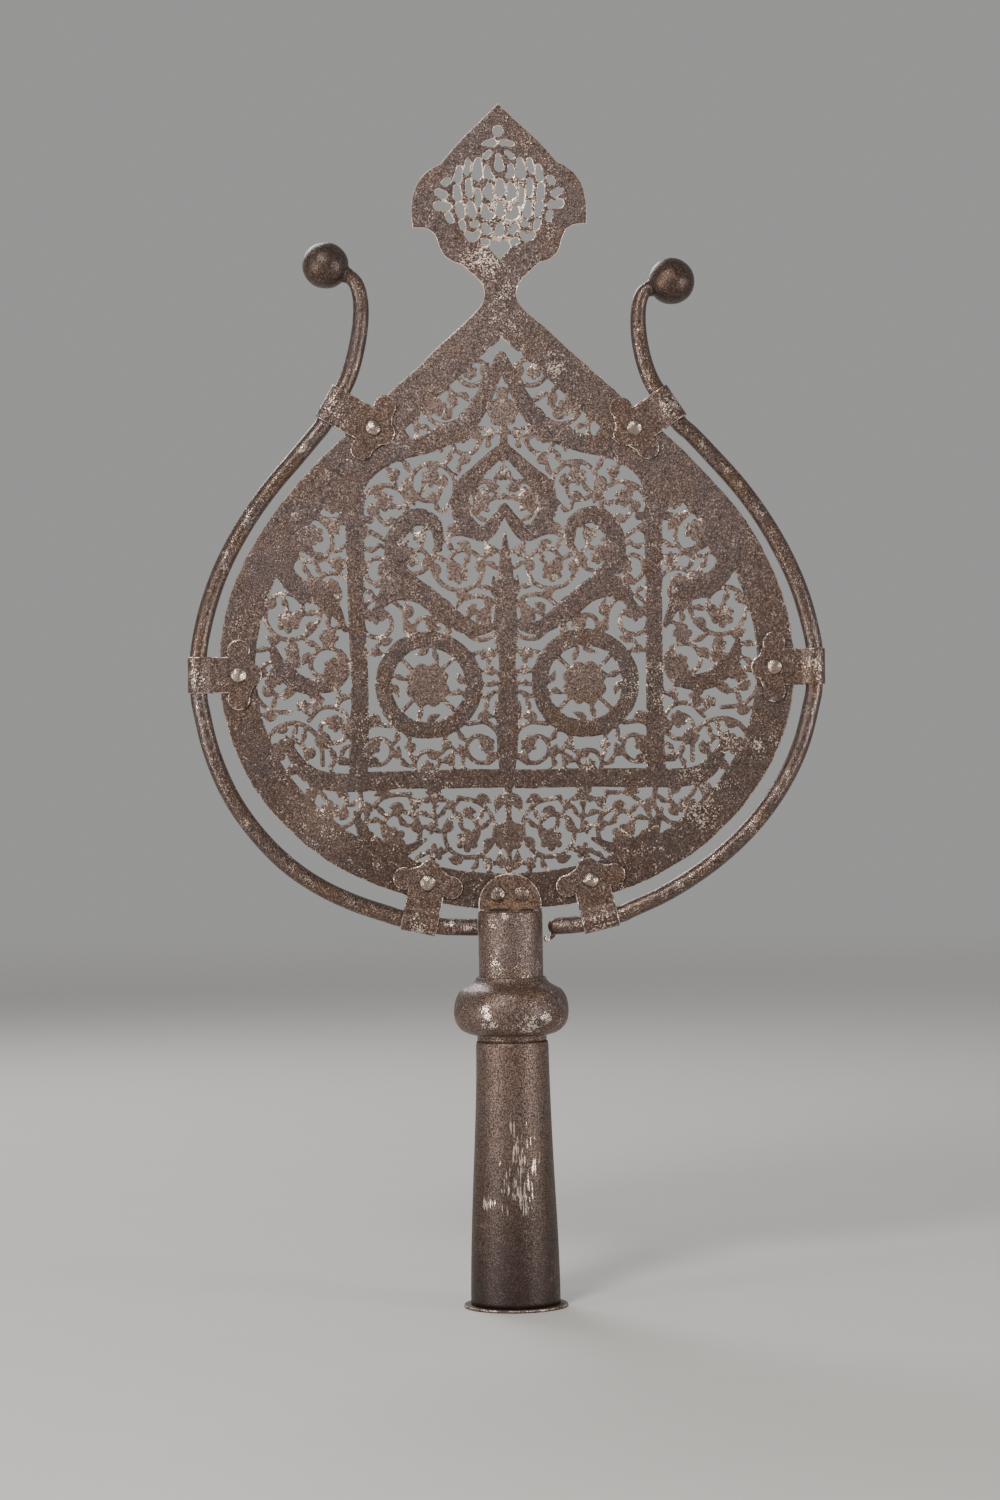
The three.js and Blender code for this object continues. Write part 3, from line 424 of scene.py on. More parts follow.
# Spiral stems: centre above the plate's foot, radius, start angle, turns, leaves and the flower's radius
SCROLLS = (
    (24, 43, 19, 80, 1.5, 6, 6.5), (61, 45, 20, 110, -1.5, 6, 6.5), (96, 60, 17, 150, 1.4, 5, 5.5),
    (119, 88, 19, 200, -1.5, 6, 6), (96, 101, 13, 20, 1.3, 4, 4.8), (124, 126, 17, 250, 1.4, 5, 5.5),
    (99, 135, 15, -30, -1.4, 4, 5), (119, 165, 20, 90, 1.5, 6, 6.5), (96, 175, 13, 200, -1.3, 4, 4.8),
    (107, 203, 19, -60, 1.5, 6, 6), (93, 227, 14, 30, -1.3, 4, 4.8), (15, 90, 14, 60, 1.3, 4, 4.8),
    (71, 90, 14, 120, -1.3, 4, 4.8), (43, 81, 10, -90, 1.1, 3, 4), (15, 158, 17, -20, 1.4, 5, 5),
    (69, 159, 15, 200, -1.4, 4, 5), (43, 156, 13, 90, 1.2, 4, 4.5), (24, 189, 19, 120, -1.5, 6, 6),
    (69, 188, 13, 90, 1.3, 4, 4.5), (48, 193, 11, 60, -1.2, 3, 4.2), (64, 221, 17, -80, 1.4, 5, 5.5),
    (41, 233, 16, 240, -1.4, 5, 5.5), (9, 229, 9, -90, 1.2, 3, 4), (22, 257, 13, -20, 1.3, 4, 4.5),
    (56, 265, 14, 60, -1.3, 4, 5), (33, 279, 14, 200, 1.3, 5, 5), (77, 253, 12, 90, 1.2, 4, 4.5),
    (15, 296, 11, 40, -1.2, 3, 4.2),
)

# Openings of the finial as straight and bent drops: places above the stem, then half widths
FINIAL_HOLES = (
    (((0, 89.2), (0, 89.7)), (2.7, 2.7)), (((0, 69.5), (0, 75.5)), (2.4, 1.2)),
    (((0, 57.5), (0, 61.5)), (2.9, 1.8)), (((0, 45.5), (0, 49.5)), (2.4, 1.6)),
    (((0, 34.5), (0, 38.5)), (2.6, 1.4)), (((0, 20.5), (2.4, 26)), (1.3, 3.2)),
    (((2.9, 83), (7.6, 82.4)), (2, 1.2)), (((5.2, 77.2), (7.2, 75.4)), (1.4, 1.5)),
    (((12.4, 66), (11.6, 73.4)), (2.9, 1.4)), (((18, 67.4), (17, 73.2)), (1.5, 1.2)),
    (((22.8, 63.8), (21.8, 69.6)), (2.1, 1.3)), (((28.2, 62.8), (29.6, 61.6)), (1.9, 1.7)),
    (((4.2, 64.4), (6.6, 66), (6.6, 69.8)), (1.1, 1.9, 1.2)), (((16.8, 55.2), (17, 62.2)), (1.6, 1.3)),
    (((23, 53.2), (23.4, 59)), (2.1, 1.6)), (((30.8, 55), (33.4, 56.4)), (2.2, 1.9)),
    (((5.2, 53.4), (7, 56), (5.8, 59.6)), (1.6, 2.4, 1.3)), (((11.9, 50), (12.4, 57)), (1.4, 1.5)),
    (((28.8, 48.4), (33.4, 49.2)), (2.1, 2.4)), (((21.4, 43.6), (22.4, 48.4)), (1.7, 2.2)),
    (((15.4, 44.4), (16.4, 49.6)), (2.3, 1.6)), (((4.6, 43.4), (8, 44), (8.6, 48)), (1.3, 2.3, 1.3)),
    (((27.2, 40.8), (28.2, 43.6)), (1.5, 1.6)), (((13.4, 38.8), (14.8, 38.4)), (1.6, 1.6)),
    (((20.6, 36.6), (21.2, 39.2)), (1.5, 1.6)), (((6.8, 34.6), (8.8, 37.2)), (2, 1.5)),
    (((12.4, 33.4), (15.2, 31), (18.2, 32.8)), (1.3, 2.4, 1.5)), (((7.4, 28.2), (9, 29)), (1.6, 1.5)),
)


def outline_distance(work):
    """Distance to the plate's edge, negative inside it, where a ray to the right meets it an odd number of times."""
    distance = np.full(work.metal.shape, FAR)
    inside = np.zeros(work.metal.shape, bool)
    edge = np.column_stack([EDGE, np.zeros(len(EDGE))])
    for start, end in zip(edge[:-1], edge[1:]):
        rows, columns, gap = work.near(np.array([start, end]), BORDER + 4)
        distance[rows, columns] = np.minimum(distance[rows, columns], gap)
        low, high = sorted((start[1], end[1]))
        crossed = np.nonzero((work.z > low) & (work.z <= high))[0]
        if len(crossed):
            at = start[0] + (work.z[crossed] - start[1]) * (end[0] - start[0]) / (end[1] - start[1])
            inside[crossed] ^= work.x[None, :] < at[:, None]
    return np.where(inside, -distance, distance)


def draw_bold(work):
    """Band with raised ends, columns, arch, lance, ring medallions, heart and volutes."""
    bar = work.bar
    work.stroke([(0, 72), (60, 72), (98, 72), (113, 80), (121, 97)], [bar, bar, bar, 0.85 * bar, 0.8], True)
    work.stroke([(82, 72), (81, 123), (82, 173), (82, 221)], [bar, 0.9 * bar, 0.9 * bar, bar], True)
    work.stroke([(73, 83), (91, 83)], [2.2, 2.2], True)
    work.stroke([(74, 215), (90, 215)], [2.2, 2.2], True)
    work.stroke([(82, 219), (79, 238), (62, 251), (40, 257), (20, 267), (7, 287), (0, 303)],
                [0.9 * bar, bar, bar, bar, bar, 0.8 * bar, 3], True)
    work.leaf(84, 219, 45, 17, 4.4, 25, True)
    work.leaf(58, 253, 140, 13, 3.4, -40, True)
    work.stroke([(0, 72), (0, 101), (0, 133), (0, 168), (0, 207)], [4, 6.2, 4.6, 6.4, 0.8], True)
    work.leaf(0, 103, 35, 13, 3, 25, True)
    work.leaf(0, 171, 35, 14, 3, 25, True)
    work.ring(43, 124, 25, 0.88 * bar)
    work.rosette(43, 124, 12.5, 8, 22.5)
    for tie in range(4):
        slant = np.radians(45 + 90 * tie)
        way = np.array([np.cos(slant), np.sin(slant)])
        work.stroke([(43, 124) + 10 * way, (43, 124) + 22 * way], [1.2, 1.2])
        square = np.radians(90 * tie)
        work.leaf(43 + 21 * np.cos(square), 124 + 21 * np.sin(square), 90 * tie + 215, 8, 2, 20)
    work.stroke([(2, 159), (16, 154), (32, 162), (46, 174), (62, 175), (72, 162)],
                [2, 3.6, bar, 1.08 * bar, bar, 1.2], True)
    work.stroke([(46, 174), (58, 186), (61, 203), (51, 216), (38, 212), (36, 199)],
                [bar, bar, bar, 0.92 * bar, 3.8, 2], True)
    work.stroke([(0, 221), (11, 207), (22, 214), (23, 230), (13, 241), (0, 254)],
                [2.5, 0.8 * bar, bar, bar, 0.8 * bar, 3], True)
    work.stroke([(0, 249), (0, 267), (0, 283)], [3, 2, 3.4])
    work.rosette(0, 273, 8.5, 8, 0)
    work.stroke([(88, 155), (97, 171), (111, 176), (121, 189), (113, 202), (103, 195)],
                [1.5, 0.8 * bar, 1.04 * bar, bar, 0.8 * bar, 1.6], True)
    work.stroke([(88, 135), (98, 125), (112, 125), (124, 135), (128, 149)], [1.5, 3.6, 4.8, 4.4, 0.8], True)
    work.stroke([(46, 39), (60, 33), (76, 39), (84, 55)], [1, 3.6, 4.4, 1], True)
    work.stroke([(0, 67), (0, 45), (0, 19)], [2.5, 1.4, 1.4])
    work.rosette(0, 41, 9, 8, 0)
    work.leaf(0, 63, -35, 12, 3, -20)
    work.leaf(0, 23, 35, 11, 2.8, 30)


def clip_places():
    """Name, side, rod centre, inward direction and reach of each clip, in the plane of the plate."""
    places = []
    for side, mirror in (("left", -1), ("right", 1)):
        for level, run in CLIP_RUNS.items():
            middle, along = rod_at(side, run)
            name = f"{level}_{side}"
            inward = np.array([-along[1] * mirror, along[0]])
            places.append((name, np.array([mirror * middle[0], middle[1]]), inward, REACH.get(name, COMMON_REACH)))
    return places


def plate_field(tendril, bar):
    """Fields of the whole plate, mirrored to both halves: its metal, its bold layer and its outer edge."""
    work = Openwork(tendril, bar)
    edge = outline_distance(work)
    open_top = PLATE_FOOT + FIELD_TOP - work.z[:, None]
    border = np.minimum(np.where(edge < 0, -edge - BORDER, -BORDER), open_top)
    work.metal = border.copy()
    work.bold = border.copy()
    for scroll in SCROLLS:
        work.spiral(*scroll)
    draw_bold(work)
    fill_openings(work, (edge < -BORDER) & (work.z[:, None] < PLATE_FOOT + SCROLL_TOP), SMALLEST_OPENING)
    work.foot = STEM
    for hole in FINIAL_HOLES:
        work.pierce(*hole)
    tang = np.maximum(np.abs(work.x[None, :]) - TANG_HALF_WIDTH,
                      np.abs(work.z[:, None] - PLATE_FOOT) - TANG_DEPTH)
    field = np.maximum(work.metal, np.minimum(edge, tang))
    mirrored = [np.hstack([layer[:, :0:-1], layer]) for layer in (field, work.bold, edge)]
    x = np.concatenate([-work.x[:0:-1], work.x])
    holes = [place + inward * reach for _, place, inward, reach in clip_places()]
    holes += [np.array([across, NECK_TOP + LUG_RIVET_HEIGHT]) for across in LUG_RIVETS]
    for across, height in holes:
        gap = np.hypot(x[None, :] - across, work.z[:, None] - height) - RIVET_SHANK - SEAT
        mirrored[0] = np.maximum(mirrored[0], -gap)
    return x, work.z, *mirrored


# Which sides of a grid square the edge of the metal joins, by the corners that hold metal, metal on its left
CROSSINGS = {1: ((0, 3),), 2: ((1, 0),), 3: ((1, 3),), 4: ((2, 1),), 6: ((2, 0),), 7: ((2, 3),), 8: ((3, 2),),
             9: ((0, 2),), 11: ((1, 2),), 12: ((3, 1),), 13: ((0, 1),), 14: ((3, 0),)}
SADDLES = {5: (((0, 1), (2, 3)), ((0, 3), (2, 1))), 10: (((3, 0), (1, 2)), ((1, 0), (3, 2)))}


def trace(x, z, field):
    """Zero line of a field: places where grid sides change sign, and for each the next one, metal on its left."""
    rows, columns = field.shape
    held = field < 0
    corners = (held[:-1, :-1], held[:-1, 1:], held[1:, 1:], held[1:, :-1])
    code = sum(corner.astype(int) << bit for bit, corner in enumerate(corners))
    middle = (field[:-1, :-1] + field[:-1, 1:] + field[1:, 1:] + field[1:, :-1]) < 0
    pairs = [(code == case, joins) for case, joins in CROSSINGS.items()]
    for case, (solid, parted) in SADDLES.items():
        pairs += [((code == case) & middle, solid), ((code == case) & ~middle, parted)]

    def side_id(row, column, side):
        level = side in (0, 2)
        row = row + (side == 2)
        column = column + (side == 1)
        return row * columns + column + (0 if level else rows * columns)

    starts, ends = [], []
    for mask, joins in pairs:
        row, column = np.nonzero(mask)
        for start, end in joins:
            starts.append(side_id(row, column, start))
            ends.append(side_id(row, column, end))
    starts, ends = np.concatenate(starts), np.concatenate(ends)
    order = np.argsort(starts)
    ids = starts[order]
    following = np.searchsorted(ids, ends[order])
    upright, cell = np.divmod(ids, rows * columns)
    row, column = np.divmod(cell, columns)
    here = field[row, column]
    there = field[row + upright, column + 1 - upright]
    share = here / (here - there)
    points = np.column_stack([x[column] + share * (1 - upright) * GRID, z[row] + share * upright * GRID])
    return points, following


def previous(following):
    """The point before each point of closed loops."""
    before = np.empty_like(following)
    before[following] = np.arange(len(following))
    return before


def drop(points, following, keep):
    """Leaves points out of closed loops whose links already pass them by."""
    place = np.cumsum(keep) - 1
    return points[keep], place[following[keep]]


def thin(points, following, slack, longest):
    """Leaves out points that lie near the line between their neighbours, those nearest first, in passes.

    Each point left out passes its offset on to its neighbours, so that the line never strays beyond the slack.
    Like offsets are told apart by a tiny share of the point's number.
    """
    carried = np.zeros(len(points))
    for _ in range(14):
        before = previous(following)
        chord = points[following] - points[before]
        length = np.hypot(*chord.T)
        rise = points - points[before]
        offset = np.abs(chord[:, 0] * rise[:, 1] - chord[:, 1] * rise[:, 0]) / np.maximum(length, 1e-9)
        cost = offset + carried + 1e-7 * (np.arange(len(points)) % 97)
        free = (cost < slack) & (length < longest)
        cost = np.where(free, cost, np.inf)
        leave = free & (cost < cost[before]) & (cost <= cost[following])
        if not leave.any():
            break
        worst = (offset + carried)[leave]
        np.maximum.at(carried, before[leave], worst)
        np.maximum.at(carried, following[leave], worst)
        links = following.copy()
        links[before[leave]] = following[leave]
        carried = carried[~leave]
        points, following = drop(points, links, ~leave)
    return points, following


def without_specks(points, following, smallest):
    """Leaves out loops whose area is under the smallest: the shoelace sum of each loop, found by doubled jumps."""
    label = np.arange(len(points))
    jump = following.copy()
    for _ in range(18):
        label = np.minimum(label, label[jump])
        jump = jump[jump]
    nxt = points[following]
    cross = (points[:, 0] * nxt[:, 1] - points[:, 1] * nxt[:, 0]) / 2
    area = np.bincount(label, cross, len(points))
    return drop(points, following, np.abs(area[label]) > smallest)


def loops(*outlines):
    """Joins closed outlines, the outer one anticlockwise and holes clockwise, into points and links."""
    points = np.vstack(outlines)
    starts = np.cumsum([0] + [len(outline) for outline in outlines])
    following = [start + np.roll(np.arange(len(outline)), -1) for start, outline in zip(starts, outlines)]
    return points, np.concatenate(following)


def depth_in(outline, places):
    """Distance of each place to the nearest edge of the loops, negative outside them.

    A place lies inside where a ray to its right crosses the loops an odd number of times.
    """
    points, following = outline
    start, end = points[:, None, :], points[following][:, None, :]
    x, z = places[None, :, 0], places[None, :, 1]
    way = end - start
    share = ((x - start[..., 0]) * way[..., 0] + (z - start[..., 1]) * way[..., 1]) / (way ** 2).sum(-1)
    share = np.clip(share, 0, 1)
    gap = np.hypot(x - start[..., 0] - share * way[..., 0], z - start[..., 1] - share * way[..., 1]).min(0)
    spans = (start[..., 1] > z) != (end[..., 1] > z)
    rise = np.where(spans, way[..., 1], 1)
    at = start[..., 0] + (z - start[..., 1]) * way[..., 0] / rise
    return np.where((spans & (x < at)).sum(0) % 2 == 1, gap, -gap)


# Meshes

def uneven(points, seed, reach, amount):
    """Slow unevenness of hand work: a sum of six sine waves through space, each as long as the reach or so."""
    chance = np.random.default_rng(seed)
    ways = chance.normal(size=(6, 3))
    ways *= (TURN / reach * chance.uniform(0.6, 1.5, 6) / np.linalg.norm(ways, axis=1))[:, None]
    return amount / 6 * np.sin(points @ ways.T + chance.uniform(0, TURN, 6)).sum(1) * 2


def ring_quads(rings, sides, closed=False):
    """Quads between rings of points, anticlockwise from outside; closed ones come back to the first ring."""
    ring, side = np.meshgrid(np.arange(rings if closed else rings - 1), np.arange(sides), indexing="ij")
    upper, ahead = (ring + 1) % rings, (side + 1) % sides
    quads = np.stack([ring * sides + side, ring * sides + ahead, upper * sides + ahead, upper * sides + side], -1)
    return quads.reshape(-1, 4)


def write_mesh(name, points, faces, values=None, sharp=None):
    """Mesh object at the origin from points in millimetres; faces turned outwards by the sign of their volume.

    Shading is smooth, but breaks over edges that turn by more than the sharp angle.
    """
    corners = np.array([face[:3] for face in faces])
    a, b, c = (points[corners[:, at]] for at in range(3))
    last = np.array([face[-1] for face in faces])
    volume = np.einsum("ij,ij->", a, np.cross(b, c))
    quads = last != corners[:, 2]
    volume += np.einsum("ij,ij->", a[quads], np.cross(c[quads], points[last[quads]]))
    if volume < 0:
        faces = [face[::-1] for face in faces]
    mesh = bpy.data.meshes.new(name)
    mesh.from_pydata((points * MM).tolist(), [], faces)
    mesh.polygons.foreach_set("use_smooth", np.ones(len(faces), bool))
    if sharp:
        mesh.set_sharp_from_angle(angle=np.radians(sharp))
    for key, value in (values or {}).items():
        mesh.attributes.new(key, "FLOAT", "POINT").data.foreach_set("value", value.astype(np.float32))
    mesh.update()
    piece = bpy.data.objects.new(name, mesh)
    bpy.context.scene.collection.objects.link(piece)
    return piece


def put(piece, slot, finish, *nodes):
    """Gives a piece its finish, lets it ride on the root and stand for its nodes."""
    piece.data.materials.append(finish)
    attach(piece, "root")
    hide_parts(*nodes)


def metal_side(triangles, starts, ends, size):
    """Triangles on the left of directed edges, the rest told by spreading labels over sides that are no edge."""
    first = triangles.ravel()
    second = np.roll(triangles, -1, axis=1).ravel()
    side = np.minimum(first, second) * size + np.maximum(first, second)
    owner = np.repeat(np.arange(len(triangles)), 3)
    fixed = np.minimum(starts, ends) * size + np.maximum(starts, ends)
    left = np.isin(first * size + second, starts * size + ends)
    right = np.isin(second * size + first, starts * size + ends)
    order = np.argsort(side, kind="stable")
    pair = order[:-1][side[order[:-1]] == side[order[1:]]]
    mate = order[1:][side[order[:-1]] == side[order[1:]]]
    free = ~np.isin(side[pair], fixed)
    one, two = owner[pair[free]], owner[mate[free]]
    label = np.arange(len(triangles))
    while True:
        least = np.minimum(label[one], label[two])
        spread = label.copy()
        np.minimum.at(spread, one, least)
        np.minimum.at(spread, two, least)
        spread = spread[spread]
        if (spread == label).all():
            break
        label = spread
    vote = np.bincount(label[owner], left * 1.0 - right * 1.0, len(triangles))
    return triangles[vote[label] > 0]


def sheet_mesh(outline, thickness, rims, depth, place, spacing):
    """Points, faces and rim values of a sheet with eased edges.

    The outline is drawn in on both faces by the rim width, less where the metal is too narrow or drawn-in edges
    would cross, so each edge is two narrow slopes and a wall. The faces are filled by triangulating the drawn-in
    outline, a line of points further in and a grid of points that far apart. depth() tells how far a place lies
    inside the edge, and place() turns (across, up, offset) into space. Rim values fall from 1 at the edge to 0
    where the line of points runs.
    """
    points, following = outline
    count = len(points)
    along = unit(unit(points - points[previous(following)]) + unit(points[following] - points))
    inward = np.column_stack([-along[:, 1], along[:, 0]])
    rims = rims.copy()
    for _ in range(4):
        rims[depth(points + inward * rims[:, None]) < 0.7 * rims] *= 0.6
    line = points + inward * RIM_REACH
    line = line[depth(line) > 0.9 * RIM_REACH]
    low, high = points.min(0), points.max(0)
    grid = np.stack(np.meshgrid(np.arange(low[0] + 0.31 * spacing, high[0], spacing),
                                np.arange(low[1] + 0.37 * spacing, high[1], spacing), indexing="ij"), -1)
    grid = grid.reshape(-1, 2)
    grid = grid[depth(grid) > RIM_REACH + 0.4 * spacing]
    edges = np.column_stack([np.arange(count), following])
    for _ in range(8):
        drawn = np.vstack([points + inward * rims[:, None], line, grid])
        places, _, triangles, origins, _, _ = delaunay_2d_cdt(drawn.tolist(), edges.tolist(), [], 0, 1e-6)
        places = np.array([tuple(spot) for spot in places])
        crossed = places[[not sources for sources in origins]]
        if not len(crossed):
            break
        rims[np.hypot(*(points[:, None] - crossed[None]).T).min(0) < 1.6] *= 0.5
    found = np.zeros(count, int)
    for at, sources in enumerate(origins):
        for source in sources:
            if source < count:
                found[source] = at
    triangles = metal_side(np.array(triangles), found, found[following], len(places))
    half = thickness / 2
    slope = half - rims
    size = len(places)
    flat = np.vstack([places, places, points, points])
    offset = np.concatenate([np.full(size, -half), np.full(size, half), -slope, slope])
    rim = np.clip(1 - depth(flat) / RIM_REACH, 0, 1)
    near, far = np.arange(count) + 2 * size, np.arange(count) + 2 * size + count
    front = [near, near[following], found[following], found]
    wall = [far, far[following], near[following], near]
    back = [found + size, found[following] + size, far[following], far]
    bands = np.vstack([np.column_stack(band) for band in (front, wall, back)])
    faces = triangles.tolist() + (triangles[:, ::-1] + size).tolist() + bands.tolist()
    return place(flat[:, 0], flat[:, 1], offset), faces, rim, flat


def turned_mesh(profile, sides, closed=True):
    """Points and quads of a profile of (radius, height) turned about Z; a closed one comes back to its start."""
    profile = np.asarray(profile, float)
    radius, height = profile[:, :1], np.repeat(profile[:, 1:], sides, 1)
    across, depth = circle(1, sides).T
    points = np.stack([radius * across, radius * depth, height], -1).reshape(-1, 3)
    return points, ring_quads(len(profile), sides, closed)


def capped(points, quads, sides, low, high):
    """Closes both ends of a tube of rings with a point each."""
    count = len(points)
    points = np.vstack([points, low, high])
    side = np.arange(sides)
    ahead = (side + 1) % sides
    foot = np.column_stack([ahead, side, np.full(sides, count)])
    top = np.column_stack([side, ahead]) + count - sides
    top = np.column_stack([top, np.full(sides, count + 1)])
    return points, quads.tolist() + foot.tolist() + top.tolist()


def rounded(profile, radius, steps=4):
    """Eases each corner of a closed profile with a short quadratic curve between two points near it."""
    profile = np.asarray(profile, float)
    before, after = np.roll(profile, 1, 0), np.roll(profile, -1, 0)
    back, ahead = before - profile, after - profile
    back_length = np.hypot(*back.T)[:, None]
    ahead_length = np.hypot(*ahead.T)[:, None]
    start = profile + back / back_length * np.minimum(radius, back_length / 2.2)
    end = profile + ahead / ahead_length * np.minimum(radius, ahead_length / 2.2)
    share = np.linspace(0, 1, steps)[None, :, None]
    weights = ((1 - share) ** 2, 2 * share * (1 - share), share ** 2)
    curve = sum(weight * place[:, None] for weight, place in zip(weights, (start, profile, end)))
    return curve.reshape(-1, 2)


def tube_mesh(path, radius, sides=24):
    """Points and faces of a round bar along a path in the plate's plane: circles in the normal and Y directions."""
    along = unit(np.gradient(path, axis=0))
    reach, depth = (radius[:, None] * part for part in circle(1, sides).T)
    x = path[:, :1] + along[:, 1:] * reach
    z = path[:, 1:] - along[:, :1] * reach
    points = np.stack([x, depth, z], -1).reshape(-1, 3)
    low, high = ((across, 0, up) for across, up in path[[0, -1]])
    return capped(points, ring_quads(len(path), sides), sides, low, high)


# Finishes

def linear(red, green, blue):
    """Linear colour from one given in screen values of 0 to 255."""
    screen = np.array([red, green, blue]) / 255
    return tuple(np.where(screen < 0.04045, screen / 12.92, ((screen + 0.055) / 1.055) ** 2.4))


class Wire:
    """A number that runs through a material; sums on it add Math nodes."""

    def __init__(self, finish, socket):
        self.finish = finish
        self.socket = socket

    def joined(self, operation, *others):
        sockets = [other.socket if isinstance(other, Wire) else other for other in others]
        return Wire(self.finish, self.finish.node("ShaderNodeMath", {"operation": operation}, sockets).outputs[0])

    def __add__(self, other):
        return self.joined("ADD", self, other)

    __radd__ = __add__

    def __sub__(self, other):
        return self.joined("SUBTRACT", self, other)

    def __rsub__(self, other):
        return self.joined("SUBTRACT", other, self)

    def __mul__(self, other):
        return self.joined("MULTIPLY", self, other)

    __rmul__ = __mul__

    def __truediv__(self, other):
        return self.joined("DIVIDE", self, other)

    def top(self, other):
        return self.joined("MAXIMUM", self, other)

    def held(self):
        node = self.finish.node("ShaderNodeClamp", {}, [self.socket, 0.0, 1.0])
        return Wire(self.finish, node.outputs[0])

    def rise(self, low, high):
        """Smooth step from 0 at the low value to 1 at the high one."""
        settings = {"interpolation_type": "SMOOTHSTEP"}
        node = self.finish.node("ShaderNodeMapRange", settings, [self.socket, low, high, 0.0, 1.0])
        return Wire(self.finish, node.outputs[0])


class Finish:
    """A material with one principled shader and the nodes that feed it."""

    def __init__(self, name):
        self.material = bpy.data.materials.new(name)
        self.material.use_nodes = True
        self.tree = self.material.node_tree
        self.shader = self.tree.nodes["Principled BSDF"]
        self.place = self.node("ShaderNodeTexCoord").outputs["Object"]

    def node(self, kind, settings=None, inputs=()):
        """Any node: its settings first, then the values or links of its sockets, by place or by name."""
        node = self.tree.nodes.new(kind)
        for key, value in (settings or {}).items():
            setattr(node, key, value)
        for key, value in inputs.items() if isinstance(inputs, dict) else enumerate(inputs):
            self.fill(node, key, value)
        return node

    def fill(self, node, key, value):
        """Sets an input of a node, or links it where the value is a wire or a socket."""
        value = value.socket if isinstance(value, Wire) else value
        if isinstance(value, bpy.types.NodeSocket):
            self.tree.links.new(value, node.inputs[key])
        else:
            node.inputs[key].default_value = value

    def noise(self, size, detail=3.0, rough=0.55, stretch=None):
        """Noise whose lumps are about that many millimetres."""
        place = self.place
        if stretch:
            place = self.node("ShaderNodeMapping", {}, {"Vector": place, "Scale": stretch}).outputs[0]
        inputs = {"Vector": place, "Scale": 1 / (size * MM), "Detail": detail, "Roughness": rough}
        return Wire(self, self.node("ShaderNodeTexNoise", {}, inputs).outputs["Fac"])

    def cells(self, size, feature="F1"):
        """Distance to scattered points about that many millimetres apart, 0 to 1."""
        inputs = {"Vector": self.place, "Scale": 1 / (size * MM)}
        return Wire(self, self.node("ShaderNodeTexVoronoi", {"feature": feature}, inputs).outputs["Distance"])

    def spot(self, centre, radius, stretch=(1, 1, 1)):
        """1 at a place in millimetres, falling to 0 at the radius."""
        shift = tuple(-value * MM for value in centre)
        moved = self.node("ShaderNodeVectorMath", {"operation": "ADD"}, [self.place, shift]).outputs[0]
        scaled = self.node("ShaderNodeVectorMath", {"operation": "MULTIPLY"}, [moved, stretch]).outputs[0]
        return (1 - self.length(scaled) / (radius * MM)).held()

    def length(self, vector):
        """Length of a vector's socket."""
        return Wire(self, self.node("ShaderNodeVectorMath", {"operation": "LENGTH"}, [vector]).outputs["Value"])

    def attribute(self, name):
        node = self.node("ShaderNodeAttribute", {"attribute_name": name})
        return Wire(self, node.outputs["Fac"])

    def axis(self, name):
        """A coordinate of the place, in metres."""
        return Wire(self, self.node("ShaderNodeSeparateXYZ", {}, [self.place]).outputs[name])

    def mixed(self, share, first, second):
        """Colour between two, each three numbers or a socket, as a mix node's output."""
        first, second = ((*colour, 1.0) if isinstance(colour, tuple) else colour for colour in (first, second))
        return self.node("ShaderNodeMix", {"data_type": "RGBA"}, {0: share, 6: first, 7: second}).outputs[2]

    def feed(self, key, value):
        """Sets or links a socket of the shader."""
        self.fill(self.shader, key, value)

    def bump(self, height, distance, strength):
        """Feeds the normal with a height in shares of the distance, in millimetres."""
        inputs = {"Height": height, "Distance": distance * MM, "Strength": strength}
        self.feed("Normal", self.node("ShaderNodeBump", {}, inputs).outputs[0])


